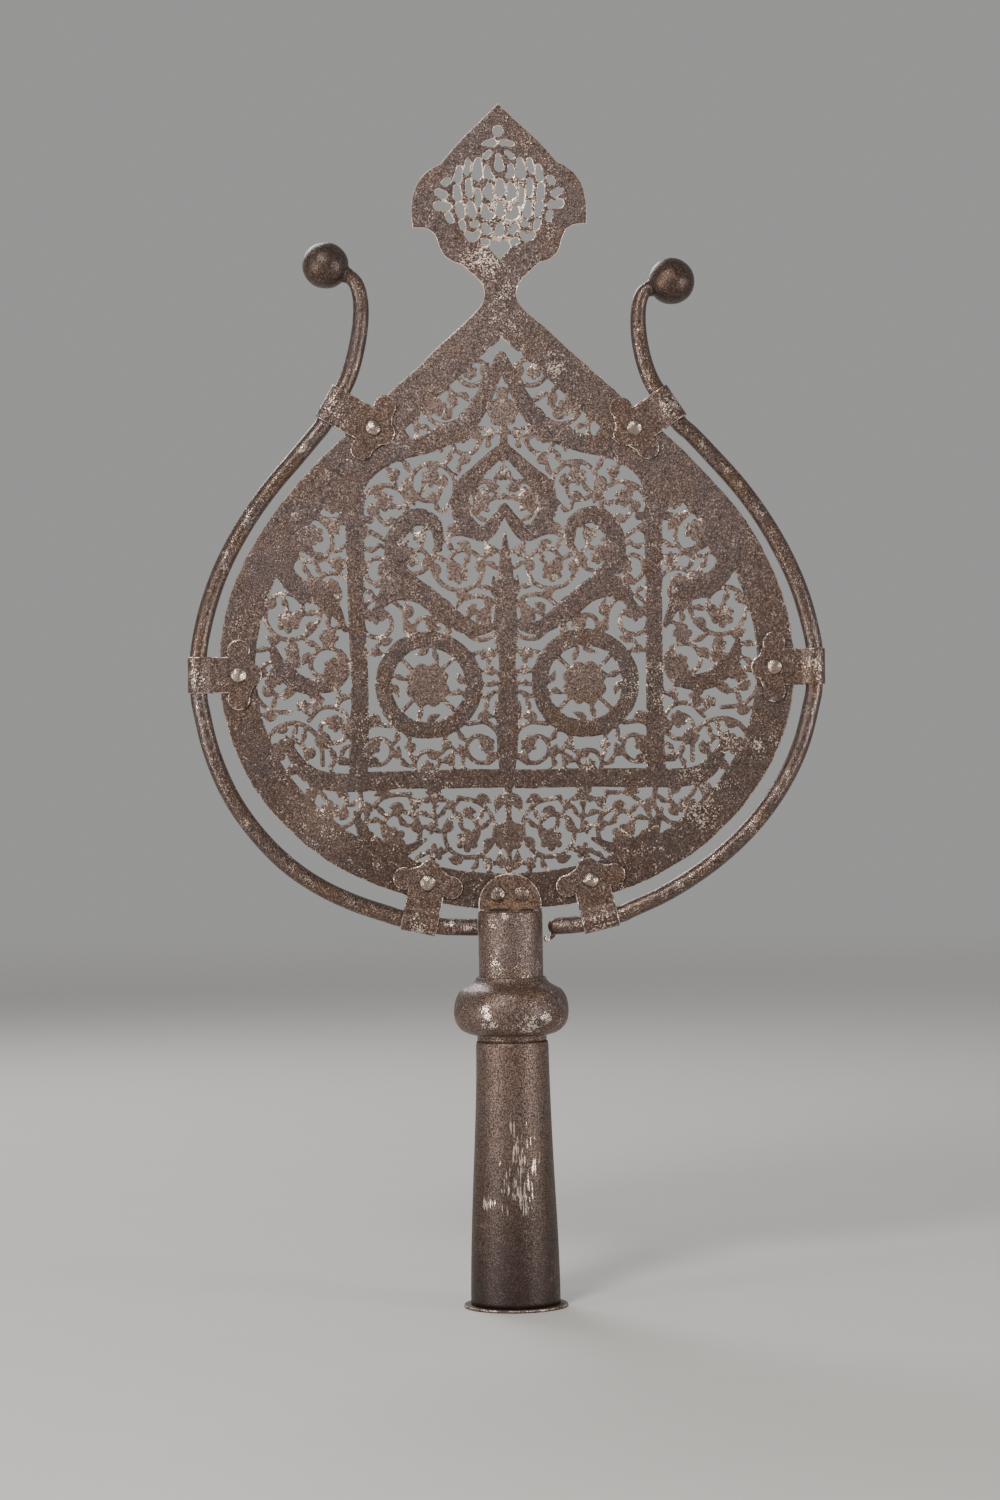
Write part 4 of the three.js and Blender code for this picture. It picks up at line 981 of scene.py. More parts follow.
def old_steel(name, look, rust=0.0, rub=0.0, gloss=0.0, rust_spots=(), bare_and_sheen_spots=(), dust_and_sheen_spots=(), streaks=(),
              slit_shadows=(), hammered=0.0, warm=0.0, silver=0.25, white=0.85, shade=()):
    """Steel under an old brown patina: speckled, pitted, rusty in hollows, rubbed bright on rims and high places.

    Spots are (centre, radius, share), and streaks and slits (centre, radius, stretch). Below the first height of the
    shade the skin grows warmer, and darker with painted shade, down to the second, by the shade's share. Bare spots
    are rubbed places and painted highlights, pale spots dust and painted sheen, and slits painted shadow.
    """
    finish = Finish(name)
    grain = finish.noise(0.8, 1.0, 0.5)
    fine = finish.noise(0.4, 1.0, 0.5)
    pits = finish.noise(1.9, 3.0, 0.6)
    patch = finish.noise(6, 4.0, 0.65)
    cloud = finish.noise(26, 4.0, 0.6)
    rim = finish.attribute("rim")
    worn = finish.attribute("wear")
    flank_shade = finish.attribute("flank_shade")

    def spotted(mask, spots, patchy, grainy, less, soft):
        """The mask with ragged spots laid over it."""
        for centre, radius, share in spots:
            here = finish.spot(centre, radius) * share + (patch - 0.5) * patchy + (grain - 0.5) * grainy - less
            mask = mask.top(here.rise(0.0, soft))
        return mask

    if shade:
        top, foot, most = shade
        depth = 1 - ((finish.axis("Z") - foot * MM) / ((top - foot) * MM)).held()
        warm = warm + depth * 0.7
    skin = finish.mixed((cloud.rise(0.38, 0.64) + warm).held(), tuple(look.patina), tuple(look.brown))
    skin = finish.mixed(pits.rise(0.47, 0.66) * 0.72, skin, tuple(look.pits_and_shade))
    # Pale specks: dust and worn scrolls, and painted sheen where a pale spot lies on the neck's front.
    dust_and_sheen = finish.attribute("thin") * 0.1
    for centre, radius, share in dust_and_sheen_spots:
        dust_and_sheen = dust_and_sheen + finish.spot(centre, radius) * share
    speck = (grain + (fine - 0.5) * 0.5 + (patch - 0.5) * 0.2 + (cloud - 0.5) * 0.1 + dust_and_sheen).rise(0.46, 0.70)
    colour = finish.mixed(speck * 0.7, skin, tuple(look.speck))
    # Painted shade: the colour darkens towards the shade's foot.
    if shade:
        colour = finish.mixed(depth * most, colour, tuple(look.pits_and_shade))
    # Painted shade on a rod's flanks, from its attribute, towards the pits' colour.
    colour = finish.mixed(flank_shade * 0.7, colour, tuple(look.pits_and_shade))

    rusty = (finish.noise(14, 5.0, 0.7) + (patch - 0.5) * 0.5 + (rust - 0.70)).rise(0.0, 0.14) * 0.6
    rusty = spotted(rusty, rust_spots, 1.2, 0.7, 0.25, 0.6).held()
    rust_colour = finish.mixed(grain.rise(0.38, 0.58), tuple(look.rust_dark), tuple(look.rust))
    colour = finish.mixed(rusty * 0.75, colour, rust_colour)

    # Bare metal on rubbed rims and spots, which also paints highlights: along a rod's crest and where spots sit on
    # highlights.
    edge = rim.rise(0.35, 0.8) * (worn * 0.8 + 0.62)
    bare_and_sheen = (edge + (patch - 0.5) * 1.5 + (grain - 0.5) * 1.0 + (rub - 0.5)).rise(0.0, 0.4)
    bare_and_sheen = spotted(bare_and_sheen, bare_and_sheen_spots, 1.6, 2.2, 0.42, 0.3)
    for centre, radius, stretch in streaks:
        lines = finish.noise(1.0, 3.0, 0.65, stretch=(1, 1, 0.07))
        breaks = finish.noise(6, 3.0, 0.7, stretch=(1, 1, 0.5))
        near = finish.spot(centre, radius, stretch)
        here = near * 0.8 + (lines - 0.5) * 3.2 + (breaks - 0.5) * 2.6 - 0.62
        bare_and_sheen = bare_and_sheen.top(here.rise(0.0, 0.4) * near.rise(0.0, 0.2))
    bare_and_sheen = bare_and_sheen.held()
    colour = finish.mixed(bare_and_sheen * white, colour, tuple(look.bare_and_sheen))
    # Painted shadow: near-black slits in the gap at a lug's foot.
    for centre, radius, stretch in slit_shadows:
        here = finish.spot(centre, radius, stretch) + (grain - 0.5) * 0.8
        colour = finish.mixed(here.rise(0.15, 0.5) * 0.9, colour, linear(18, 13, 11))
    finish.feed("Base Color", colour)

    finish.feed("Metallic", (0.5 + bare_and_sheen * silver - rusty * 0.4).held())
    finish.feed("Roughness", (0.56 - gloss - bare_and_sheen * 0.2 + rusty * 0.25 - speck * 0.12).held())
    height = grain * 0.9 + pits * 0.8 + fine * 0.3 + rusty * 0.3
    if hammered:
        height = height + finish.cells(hammered, "SMOOTH_F1") * 0.7
    finish.bump(height, 0.24, 0.75)
    return finish.material


# Sizes and colours that a user would change

class AlamSizes(bpy.types.PropertyGroup):
    tendril: FloatProperty(
        name="Scroll stem", description="Width of the thin scroll stems, in millimetres",
        default=2.5, min=1.5, max=4)
    bar: FloatProperty(
        name="Bold band", description="Width of the bold ornament, in millimetres", default=10.4, min=6, max=14)
    rim: FloatProperty(
        name="Eased rim", description="Width of the slope along cut edges, in millimetres",
        default=0.42, min=0.1, max=0.8)
    horn_tip: FloatProperty(
        name="Horn tip", description="Diameter of a guard rod where it meets its ball, in millimetres",
        default=7.3, min=5, max=9.4)
    rivet_head: FloatProperty(
        name="Rivet head", description="Diameter of the rivet heads, in millimetres", default=8.8, min=6, max=12)
    dome: FloatProperty(
        name="Rivet dome", description="Height of the rivet heads, in millimetres", default=2.3, min=0.5, max=4)


class AlamLook(bpy.types.PropertyGroup):
    patina: FloatVectorProperty(
        name="Patina", description="Grey-brown skin of the old steel", subtype="COLOR", default=linear(73, 61, 60))
    brown: FloatVectorProperty(
        name="Brown patina", description="Warmer skin in clouds over it", subtype="COLOR",
        default=linear(76, 54, 41))
    # The pits' dark skin, also used as the colour of painted shade.
    pits_and_shade: FloatVectorProperty(
        name="Pits", description="Dark skin in the pits", subtype="COLOR", default=linear(34, 25, 22))
    speck: FloatVectorProperty(
        name="Specks", description="Pale grains in the skin", subtype="COLOR", default=linear(146, 123, 111))
    # Bare steel, also used for painted highlights.
    bare_and_sheen: FloatVectorProperty(
        name="Bare steel", description="Rubbed rims and high places", subtype="COLOR",
        default=linear(240, 220, 203))
    rust: FloatVectorProperty(
        name="Rust", description="Rust in hollows and seams", subtype="COLOR", default=linear(128, 98, 76))
    rust_dark: FloatVectorProperty(
        name="Dark rust", description="Deeper grains in the rust", subtype="COLOR", default=linear(78, 54, 38))


class AlamOperator:
    """What all the operators share."""
    bl_options = {"REGISTER", "UNDO"}


class ALAM_OT_plate(AlamOperator, bpy.types.Operator):
    """Cuts the plate: border, openwork field, stem and leaf-shaped finial in one sheet"""
    bl_idname = "alam.plate"
    bl_label = "Pierced plate"

    def execute(self, context):
        sizes, look = context.scene.alam_sizes, context.scene.alam_look
        x, z, field, bold, edge = plate_field(sizes.tendril / 2, sizes.bar / 2)

        def sample(layer, places):
            column = np.clip((places[:, 0] - x[0]) / GRID, 0, len(x) - 1.001)
            row = np.clip((places[:, 1] - z[0]) / GRID, 0, len(z) - 1.001)
            left, low = column.astype(int), row.astype(int)
            across, up = column - left, row - low
            lower = layer[low, left] * (1 - across) + layer[low, left + 1] * across
            upper = layer[low + 1, left] * (1 - across) + layer[low + 1, left + 1] * across
            return lower * (1 - up) + upper * up

        def share_of(places):
            """How far places belong to the thin scrolls, and to the outer edge."""
            slim = np.clip((sample(bold, places) - 0.2) / 1.2, 0, 1)
            return slim, np.clip(1 + sample(edge, places) / 2, 0, 1)

        outline = thin(*without_specks(*trace(x, z, field), SPECK), SLACK, LONGEST_SIDE)
        slim, outer = share_of(outline[0])
        rims = sizes.rim * (1 - 0.35 * slim + 0.7 * outer)

        def stand(across, up, offset):
            """Upright, cut by hand: long and short waves in the drawing, and the slow bends of hammered sheet."""
            points = np.column_stack([across, offset, up])
            flat = points * (1, 0, 1)
            below_tip = np.clip((TIP - 1 - up) / 20, 0, 1)
            for axis, seed in ((0, 5), (2, 7)):
                waves = uneven(flat, seed, 46, 0.5) + uneven(flat, seed + 1, 9, 0.16)
                points[:, axis] += waves * below_tip
            points[:, 1] += uneven(flat, 2, 70, 0.22)
            return points

        points, faces, rim, flat = sheet_mesh(
            outline, PLATE_THICKNESS, rims, lambda places: -sample(field, places), stand, 5.0)
        slim, outer = share_of(flat)
        top = np.clip((flat[:, 1] - STEM + 40) / 30, 0, 1)
        worn = outer * (0.35 + 0.65 * top) + (1 - outer) * (0.42 * top - 0.12) - 0.08 * slim * (1 - top)
        traits = {"rim": rim, "wear": worn, "thin": slim * (1 - top)}
        plate = write_mesh("plate_openwork", points, faces, traits, SHEET_SHARP)
        bare_and_sheen = (((7, -1, 603), 25, 0.85), ((0, -1, 584), 14, 0.75), ((-8, -1, 574), 18, 0.6),
                ((2, -1, 556), 14, 0.36), ((4, -1, 538), 18, 0.28), ((30, -1, 512), 14, 0.4),
                ((104, -1, 268), 14, 0.5), ((112, -1, 282), 9, 0.5), ((-106, -1, 269), 24, 0.2),
                ((76, -1, 337), 24, 0.3), ((120, -1, 308), 13, 0.32), ((101, -1, 288), 11, 0.34),
                ((138, -1, 306), 5, 0.62), ((-72, -1, 317), 15, 0.42))
        pale = (((3, -1, 590), 40, 0.03), ((0, -1, 380), 70, 0.06), ((-104, -1, 268), 30, 0.18),
                ((100, -1, 270), 40, 0.06), ((-40, -1, 524), 60, 0.06))
        rusty = (((0, -1, 232), 30, 0.5), ((-70, -1, 262), 56, 0.3), ((60, -1, 256), 56, 0.35))
        # The shade paints the lower plate darker, over a warmer skin.
        finish = old_steel("plate_steel", look, rust_spots=rusty, bare_and_sheen_spots=bare_and_sheen, dust_and_sheen_spots=pale,
                           warm=-0.35, shade=(430, 230, 0.5))
        put(plate, "dark_steel", finish, "pierced_plate")
        return {"FINISHED"}


class ALAM_OT_socket(AlamOperator, bpy.types.Operator):
    """Turns the socket: mouth ring, tapered ferrule, raised knop and capped neck"""
    bl_idname = "alam.socket"
    bl_label = "Socket"

    def execute(self, context):
        look = context.scene.alam_look
        self.mouth_ring(look)
        self.ferrule(look)
        self.knop(look)
        self.neck(look)
        return {"FINISHED"}

    def mouth_ring(self, look):
        """Thin flat ring with eased corners, bright along its upper outer edge."""
        profile = rounded([(RING_BORE, 0), (RING_RADIUS, 0), (RING_RADIUS, RING_THICKNESS),
                           (RING_BORE, RING_THICKNESS)], 0.5)
        points, quads = turned_mesh(profile, 160)
        points[:, :2] *= (1 + uneven(points, 3, 60, 0.004))[:, None]
        edge = (np.hypot(points[:, 0], points[:, 1]) > RING_RADIUS - 0.5) & (points[:, 2] > 0.8)
        ring = write_mesh("ring_of_mouth", points, quads.tolist(), {"rim": edge * 0.66, "wear": edge * 0.1})
        put(ring, "rusty_steel", old_steel("ring_steel", look, rust=0.1, rub=0.1), "mouth_ring")

    def ferrule(self, look):
        """Tapered tube: its radius falls by half a cosine wave, with the wall inside and a lapped seam behind."""
        share = np.linspace(0, 1, 60)
        radius = FERRULE_TOP_RADIUS + FERRULE_SPREAD * (1 + np.cos(np.pi * share)) / 2
        height = FERRULE_FOOT + share * (FERRULE_TOP - FERRULE_FOOT)
        outside = np.column_stack([radius, height])
        inside = np.column_stack([radius - SOCKET_WALL, height])[::-1]
        lip = np.array([[radius[-1] - 0.4, FERRULE_TOP]])
        points, quads = turned_mesh(np.vstack([outside[:-1], outside[-1:] - (0.3, 0.3), lip, inside]), 200)
        angle = np.arctan2(points[:, 1], points[:, 0])
        shell = np.hypot(points[:, 0], points[:, 1]) > np.interp(points[:, 2], height, radius) - 1
        mean_radius = 22
        seam = np.exp(-((angle - np.pi / 2) * mean_radius / SEAM_WIDTH) ** 2) * SEAM_HEIGHT * shell
        change = uneven(points, 5, 70, 0.22) - seam
        points[:, :2] *= (1 + change / np.hypot(points[:, 0], points[:, 1]))[:, None]
        tube = write_mesh("ferrule_tube", points, quads.tolist())
        rusty = (((24, -4, 100), 34, 0.35), ((-24, -4, 40), 40, 0.35), ((22, 0, 20), 36, 0.4))
        pale = (((0, -20, 110), 90, 0.06),)
        streaks = (((4, -22, 72), 38, (2.6, 0.5, 1)), ((-13, -20, 58), 6, (1, 0.5, 1)))
        # The shade paints the tube darker towards its foot.
        finish = old_steel("ferrule_steel", look, rub=0.04, gloss=0.05, rust_spots=rusty, dust_and_sheen_spots=pale,
                           streaks=streaks, shade=(150, -20, 0.95))
        put(tube, "dark_steel", finish, "socket_ferrule")

    def knop(self, look):
        """Bulb of raised sheet: three cubic curves from collar to collar, the wall measured square to them."""
        height = KNOP_TOP - KNOP_UNDERSIDE
        widest = (KNOP_RADIUS, KNOP_UNDERSIDE + 0.46 * height)
        lip = (KNOP_LIP, KNOP_TOP - 0.06 * height)
        belly = np.vstack([
            [(KNOP_COLLAR, KNOP_FOOT), (KNOP_COLLAR, KNOP_FOOT + 1.5)],
            bezier((KNOP_COLLAR, KNOP_UNDERSIDE), (KNOP_COLLAR + 6, KNOP_UNDERSIDE),
                   (KNOP_RADIUS, KNOP_UNDERSIDE + 0.13 * height), widest, 24),
            bezier(widest, (KNOP_RADIUS, KNOP_UNDERSIDE + 0.73 * height), (28.5, KNOP_TOP - 0.1 * height), lip, 20),
            bezier(lip, (22.3, KNOP_TOP), (KNOP_COLLAR + 0.6, KNOP_TOP + 1.3), (KNOP_COLLAR, COLLAR_TOP), 16),
            [(KNOP_COLLAR, COLLAR_TOP)]])
        along = unit(np.gradient(belly, axis=0))
        wall = belly + np.column_stack([-along[:, 1], along[:, 0]]) * SOCKET_WALL
        wall[:, 0] = np.maximum(wall[:, 0], KNOP_BORE)
        profile = np.vstack([[(KNOP_BORE, KNOP_FOOT)], belly, [(KNOP_BORE, COLLAR_TOP)], wall[4:-4][::-1]])
        points, quads = turned_mesh(profile, 180)
        out = np.clip((np.hypot(points[:, 0], points[:, 1]) - 20) / 8, 0, 1)
        change = (uneven(points, 11, 26, 0.35) - 0.3) * out
        points[:, :2] *= (1 + change / np.hypot(points[:, 0], points[:, 1]))[:, None]
        bulb = write_mesh("knop_bulb", points, quads.tolist())
        rusty = (((16, -24, 172), 22, 0.55), ((0, 0, 148), 26, 0.4), ((24, 10, 166), 28, 0.4))
        # The bare spots are painted highlights where the lamps glint on the bulb.
        bare_and_sheen = (((-14, -28, 165), 4, 1.1), ((-13, -29, 161), 3.5, 1.2), ((-15, -28, 155.5), 4, 1.1),
                ((-11, -29, 155), 4, 1.1), ((10, -29, 155), 9, 0.75), ((18, -26, 160), 6, 0.8))
        finish = old_steel("knop_steel", look, rub=0.04, gloss=0.1, rust_spots=rusty, bare_and_sheen_spots=bare_and_sheen,
                           dust_and_sheen_spots=(((-6, -26, 162), 34, 0.07),))
        put(bulb, "rubbed_steel", finish, "socket_knop")

    def neck(self, look):
        """Tube with an eased top, and a plug in it whose slot lets the tang and the lugs through."""
        profile = rounded([(NECK_BORE, NECK_FOOT), (NECK_RADIUS, NECK_FOOT), (NECK_RADIUS, NECK_TOP),
                           (NECK_BORE, NECK_TOP)], 0.9)
        profile = np.vstack([profile[:8], np.linspace(profile[7], profile[8], 30)[1:-1], profile[8:]])
        points, quads = turned_mesh(profile, 120)
        points[:, :2] *= (1 + uneven(points, 17, 50, 0.006))[:, None]
        wide, deep = LUG_TONGUE_HALF_WIDTH + SEAT, PLATE_THICKNESS / 2 + 2 * SEAT + LUG_THICKNESS
        slot = np.array([(-wide, -deep), (-wide, deep), (wide, deep), (wide, -deep)])
        outline = loops(circle(PLUG_RADIUS, 96), slot)
        plug, faces, rim, _ = sheet_mesh(
            outline, PLUG_THICKNESS, np.full(len(outline[0]), 0.2), lambda places: depth_in(outline, places),
            lambda across, up, offset: np.column_stack([across, up, offset + NECK_TOP - PLUG_SUNK]), 4.0)
        faces = quads.tolist() + [[corner + len(points) for corner in face] for face in outward(plug, faces)]
        rim = np.concatenate([np.zeros(len(points)), rim])
        neck = write_mesh("neck_tube", np.vstack([points, plug]), faces, {"rim": rim}, SHEET_SHARP)
        rusty = (((17, -6, 184), 22, 0.4), ((0, -6, 217), 14, 0.5))
        # The bare spots paint highlights on the front, at the top edge and on the left, and the pale spot paints
        # sheen over the front.
        bare_and_sheen = (((-3, -17, 214.5), 3, 1.0), ((-9, -15, 189), 7, 0.35))
        pale = (((-3, -17, 198), 34, 0.08),)
        finish = old_steel("neck_steel", look, rub=0.06, gloss=0.06, rust_spots=rusty, bare_and_sheen_spots=bare_and_sheen,
                           dust_and_sheen_spots=pale)
        put(neck, "dark_steel", finish, "socket_neck")


def outward(points, faces):
    """The faces of one closed shell, turned outwards by the sign of the volume they hold."""
    volume = 0.0
    for size in (3, 4):
        group = np.array([face for face in faces if len(face) == size])
        for second in range(1, size - 1) if len(group) else ():
            a, b, c = points[group[:, 0]], points[group[:, second]], points[group[:, second + 1]]
            volume += np.einsum("ij,ij->", a, np.cross(b, c))
    return faces if volume > 0 else [face[::-1] for face in faces]


def rivet_mesh(seed, seat, head, dome):
    """A rivet along Y: two low domes flattened by the hammer on a shank, turned from one profile."""
    turn = np.linspace(0, 1, 9) * np.pi / 2
    rim, brim, sides = head / 2, 0.35, 28
    curve = np.column_stack([rim * np.cos(turn), seat + brim + (dome - brim) * np.sin(turn) ** 0.85])
    foot = [(RIVET_SHANK, 0.0), (RIVET_SHANK, seat), (rim - 0.3, seat), (rim, seat + 0.25)]
    profile = np.vstack([foot, curve[:-1]])
    whole = np.vstack([profile[::-1] * (1, -1), profile[1:]])
    points, quads = turned_mesh(whole, sides, closed=False)
    points, faces = capped(points, quads, sides, (0, 0, -seat - dome), (0, 0, seat + dome))
    outside = np.abs(points[:, 2]) > seat
    chance = np.random.default_rng(seed)
    for _ in range(5):
        way = np.array([*chance.normal(0, 0.55, 2), chance.choice((-1, 1))])
        way /= np.linalg.norm(way)
        centre = np.array([0, 0, np.sign(way[2]) * seat])
        over = (points - centre) @ way - dome * chance.uniform(0.82, 0.95)
        points -= np.where(outside & (over > 0), over, 0)[:, None] * way * 0.5
    points[:, :2] *= (1 + uneven(points, seed, 6, 0.05) * outside)[:, None]
    return np.column_stack([points[:, 0], -points[:, 2], points[:, 1]]), faces


class ALAM_OT_lugs(AlamOperator, bpy.types.Operator):
    """Cuts the two half-round lugs and sets their rivets"""
    bl_idname = "alam.lugs"
    bl_label = "Lugs"

    def execute(self, context):
        sizes, look = context.scene.alam_sizes, context.scene.alam_look
        foot = NECK_TOP + SEAT
        middle = foot + LUG_HEIGHT - LUG_RADIUS
        angle = np.linspace(0, np.pi, 60)
        head = np.column_stack([LUG_RADIUS * np.cos(angle), middle + LUG_RADIUS * np.sin(angle)])
        wide, low = LUG_TONGUE_HALF_WIDTH, foot - LUG_TONGUE_DEPTH
        outline = [(-LUG_RADIUS, foot), (-wide, foot), (-wide, low), (wide, low), (wide, foot), (LUG_RADIUS, foot)]
        round_hole = circle(RIVET_SHANK + SEAT, 24) * (1, -1)
        holes = [round_hole + (across, NECK_TOP + LUG_RIVET_HEIGHT) for across in LUG_RIVETS]
        edge = loops(np.vstack([outline, head]), *holes)
        offset = PLATE_THICKNESS / 2 + SEAT + LUG_THICKNESS / 2
        rusty = (((-9, -3, 219), 8, 1.15), ((-3, -3, 219), 8, 1.1), ((3, -3, 219), 8, 1.15), ((9, -3, 219), 8, 1.1),
                 ((0, 3, 217), 13, 0.9))
        # The slits are painted shadow in the gap along the lug's foot.
        finish = old_steel("lug_steel", look, rust=0.05, rub=0.16, rust_spots=rusty, warm=0.4,
                           slit_shadows=(((-6, -3, foot + 0.5), 9, (1, 1, 7)), ((9, -3, foot + 0.4), 6, (1, 1, 7))))
        for name, side in (("front", -1), ("back", 1)):
            points, faces, rim, _ = sheet_mesh(
                edge, LUG_THICKNESS, np.full(len(edge[0]), sizes.rim), lambda places: depth_in(edge, places),
                lambda across, up, out: np.column_stack([across, out + side * offset, up]), 3.0)
            lug = write_mesh(f"lug_{name}_plate", points, faces, {"rim": rim}, SHEET_SHARP)
            put(lug, "rusty_steel", finish, f"lug_{name}")
        finish = old_steel("lug_rivet_steel", look, rust=0.02, rub=0.62, gloss=0.1, hammered=3.0, silver=0.45,
                           white=0.3)
        for name, across, dome in zip(("left", "right"), LUG_RIVETS, (sizes.dome, 0.72 * sizes.dome)):
            points, faces = rivet_mesh(40 + len(name), offset + LUG_THICKNESS / 2 + SEAT, sizes.rivet_head, dome)
            points += (across, 0, NECK_TOP + LUG_RIVET_HEIGHT)
            rivet = write_mesh(f"lug_rivet_{name}_head", points, faces)
            put(rivet, "rivet_steel", finish, f"lug_rivet_{name}")
        return {"FINISHED"}


class ALAM_OT_rods(AlamOperator, bpy.types.Operator):
    """Bends the guard rods round the plate and sets the balls on their horns"""
    bl_idname = "alam.rods"
    bl_label = "Guard rods"

    def execute(self, context):
        sizes, look = context.scene.alam_sizes, context.scene.alam_look
        for side, mirror in (("left", -1), ("right", 1)):
            path = rod_path(side)
            run = lengths_along(path)
            left = run[-1] - run
            ease = np.clip(left / 75, 0, 1)
            radius = sizes.horn_tip / 2 + (ROD_RADIUS - sizes.horn_tip / 2) * ease * (2 - ease)
            foot = np.clip(run / ROD_RADIUS, 0, 1)
            radius *= np.sqrt(np.clip(1 - (1 - foot) ** 2, 0.02, 1)) if side == "right" else 1
            path = path * (mirror, 1)
            points, faces = tube_mesh(path, radius)
            fade = np.append(np.repeat(np.interp(left, (0, 20), (0, 1)), 24), (1, 0))
            crest = np.append(np.tile(np.abs(circle(1, 24)[:, 1]), len(path)), (1, 1))
            points += (uneven(points, 21 + mirror, 30, 0.07) * fade)[:, None]
            if side == "right":
                points, faces = self.with_tang(points, faces, path[0])
            crest = np.append(crest, np.ones(len(points) - len(crest)))
            # Along the front and back crest the rim lays rubbed metal and a painted highlight, and the flanks take
            # painted shade.
            traits = {"rim": 0.68 * crest ** 3, "wear": np.full(len(crest), -0.2), "flank_shade": (1 - crest) ** 1.5}
            rod = write_mesh(f"rod_{side}_bar", points, faces, traits)
            rusty = (((mirror * 32, -4, 209), 30, 0.4),)
            bare_and_sheen = (((-33, -5, 211), 4, 0.9),) if side == "left" else (((19.5, -1, 201), 5, 1.1),)
            finish = old_steel(f"rod_{side}_steel", look, rub=0.1, gloss=0.24, rust_spots=rusty, bare_and_sheen_spots=bare_and_sheen)
            put(rod, "rubbed_steel", finish, f"guard_rod_{side}")
            self.ball(side, mirror, sizes, look)
        return {"FINISHED"}

    def with_tang(self, points, faces, foot):
        """Adds the thin tang under the rod's foot, curled over to a small knot beside the neck."""
        way = np.array([(3.2, -3.4), (2.6, -5.4), (0.8, -7.2), (-0.9, -7.6), (-1.2, -6.2), (0.2, -5.6)])
        curl = spline(foot + way, 6)
        thick = np.interp(np.arange(len(curl)), (0, 12, 20, len(curl) - 1), (1.5, 0.9, 1.2, 0.8))
        tang, tang_faces = tube_mesh(curl, thick, 12)
        tang[:, 1] -= 0.8
        moved = [[corner + len(points) for corner in face] for face in outward(tang, tang_faces)]
        return np.vstack([points, tang]), outward(points, faces) + moved

    def ball(self, side, mirror, sizes, look):
        """A ball turned about its horn's direction, with a fillet down to a short collar round the horn."""
        neck, sides = sizes.horn_tip / 2 + SEAT + 0.5, 48
        start = np.arcsin(neck / BALL_RADIUS) * 1.15
        angle = np.linspace(start, np.pi, 40)[:-1]
        shell = np.column_stack([np.sin(angle), -np.cos(angle)]) * BALL_RADIUS
        foot = shell[0, 1]
        collar = bezier((neck - 0.5, foot - 3.2), (neck, foot - 1.6), (neck, foot - 0.7), shell[0], 6)
        profile = np.vstack([collar, shell])
        points, quads = turned_mesh(profile, sides, closed=False)
        points, faces = capped(points, quads, sides, (0, 0, profile[0, 1]), (0, 0, BALL_RADIUS))
        away = points / np.maximum(np.linalg.norm(points, axis=1), 1e-6)[:, None]
        points += away * (uneven(points, 31 + mirror, 14, 0.14) - 0.14)[:, None]
        centre = ball_centre(side)
        way = horn_way(side)
        across, depth, along = points.T
        placed = np.column_stack([mirror * (centre[0] + along * way[0] - across * way[1]), depth,
                                  centre[1] + along * way[1] + across * way[0]])
        ball = write_mesh(f"ball_{side}_knob", placed, faces)
        # The shade paints the whole ball darker, nearly evenly, over a warmer skin.
        finish = old_steel(f"ball_{side}_steel", look, rust=0.14, rub=0.02, gloss=0.16, shade=(700, 500, 0.75))
        put(ball, "rubbed_steel", finish, f"rod_ball_{side}")


def clip_leaf():
    """Half of a clip's flat leaf up to its shank, as (distance from the nose, across) points: nose, side lobe."""
    turn = np.linspace(np.pi, np.pi - 0.39 * np.pi, 12)
    nose = np.column_stack([NOSE_RADIUS + NOSE_RADIUS * np.cos(turn), NOSE_RADIUS * np.sin(turn)])
    meet = np.arcsin((LOBE_OFFSET - SHANK_HALF_WIDTH) / LOBE_RADIUS)
    turn = np.linspace(np.pi + np.pi / 12, -meet, 26)
    lobe = np.column_stack([NOSE_REACH + LOBE_RADIUS * np.cos(turn), LOBE_OFFSET + LOBE_RADIUS * np.sin(turn)])
    return np.vstack([nose, lobe])


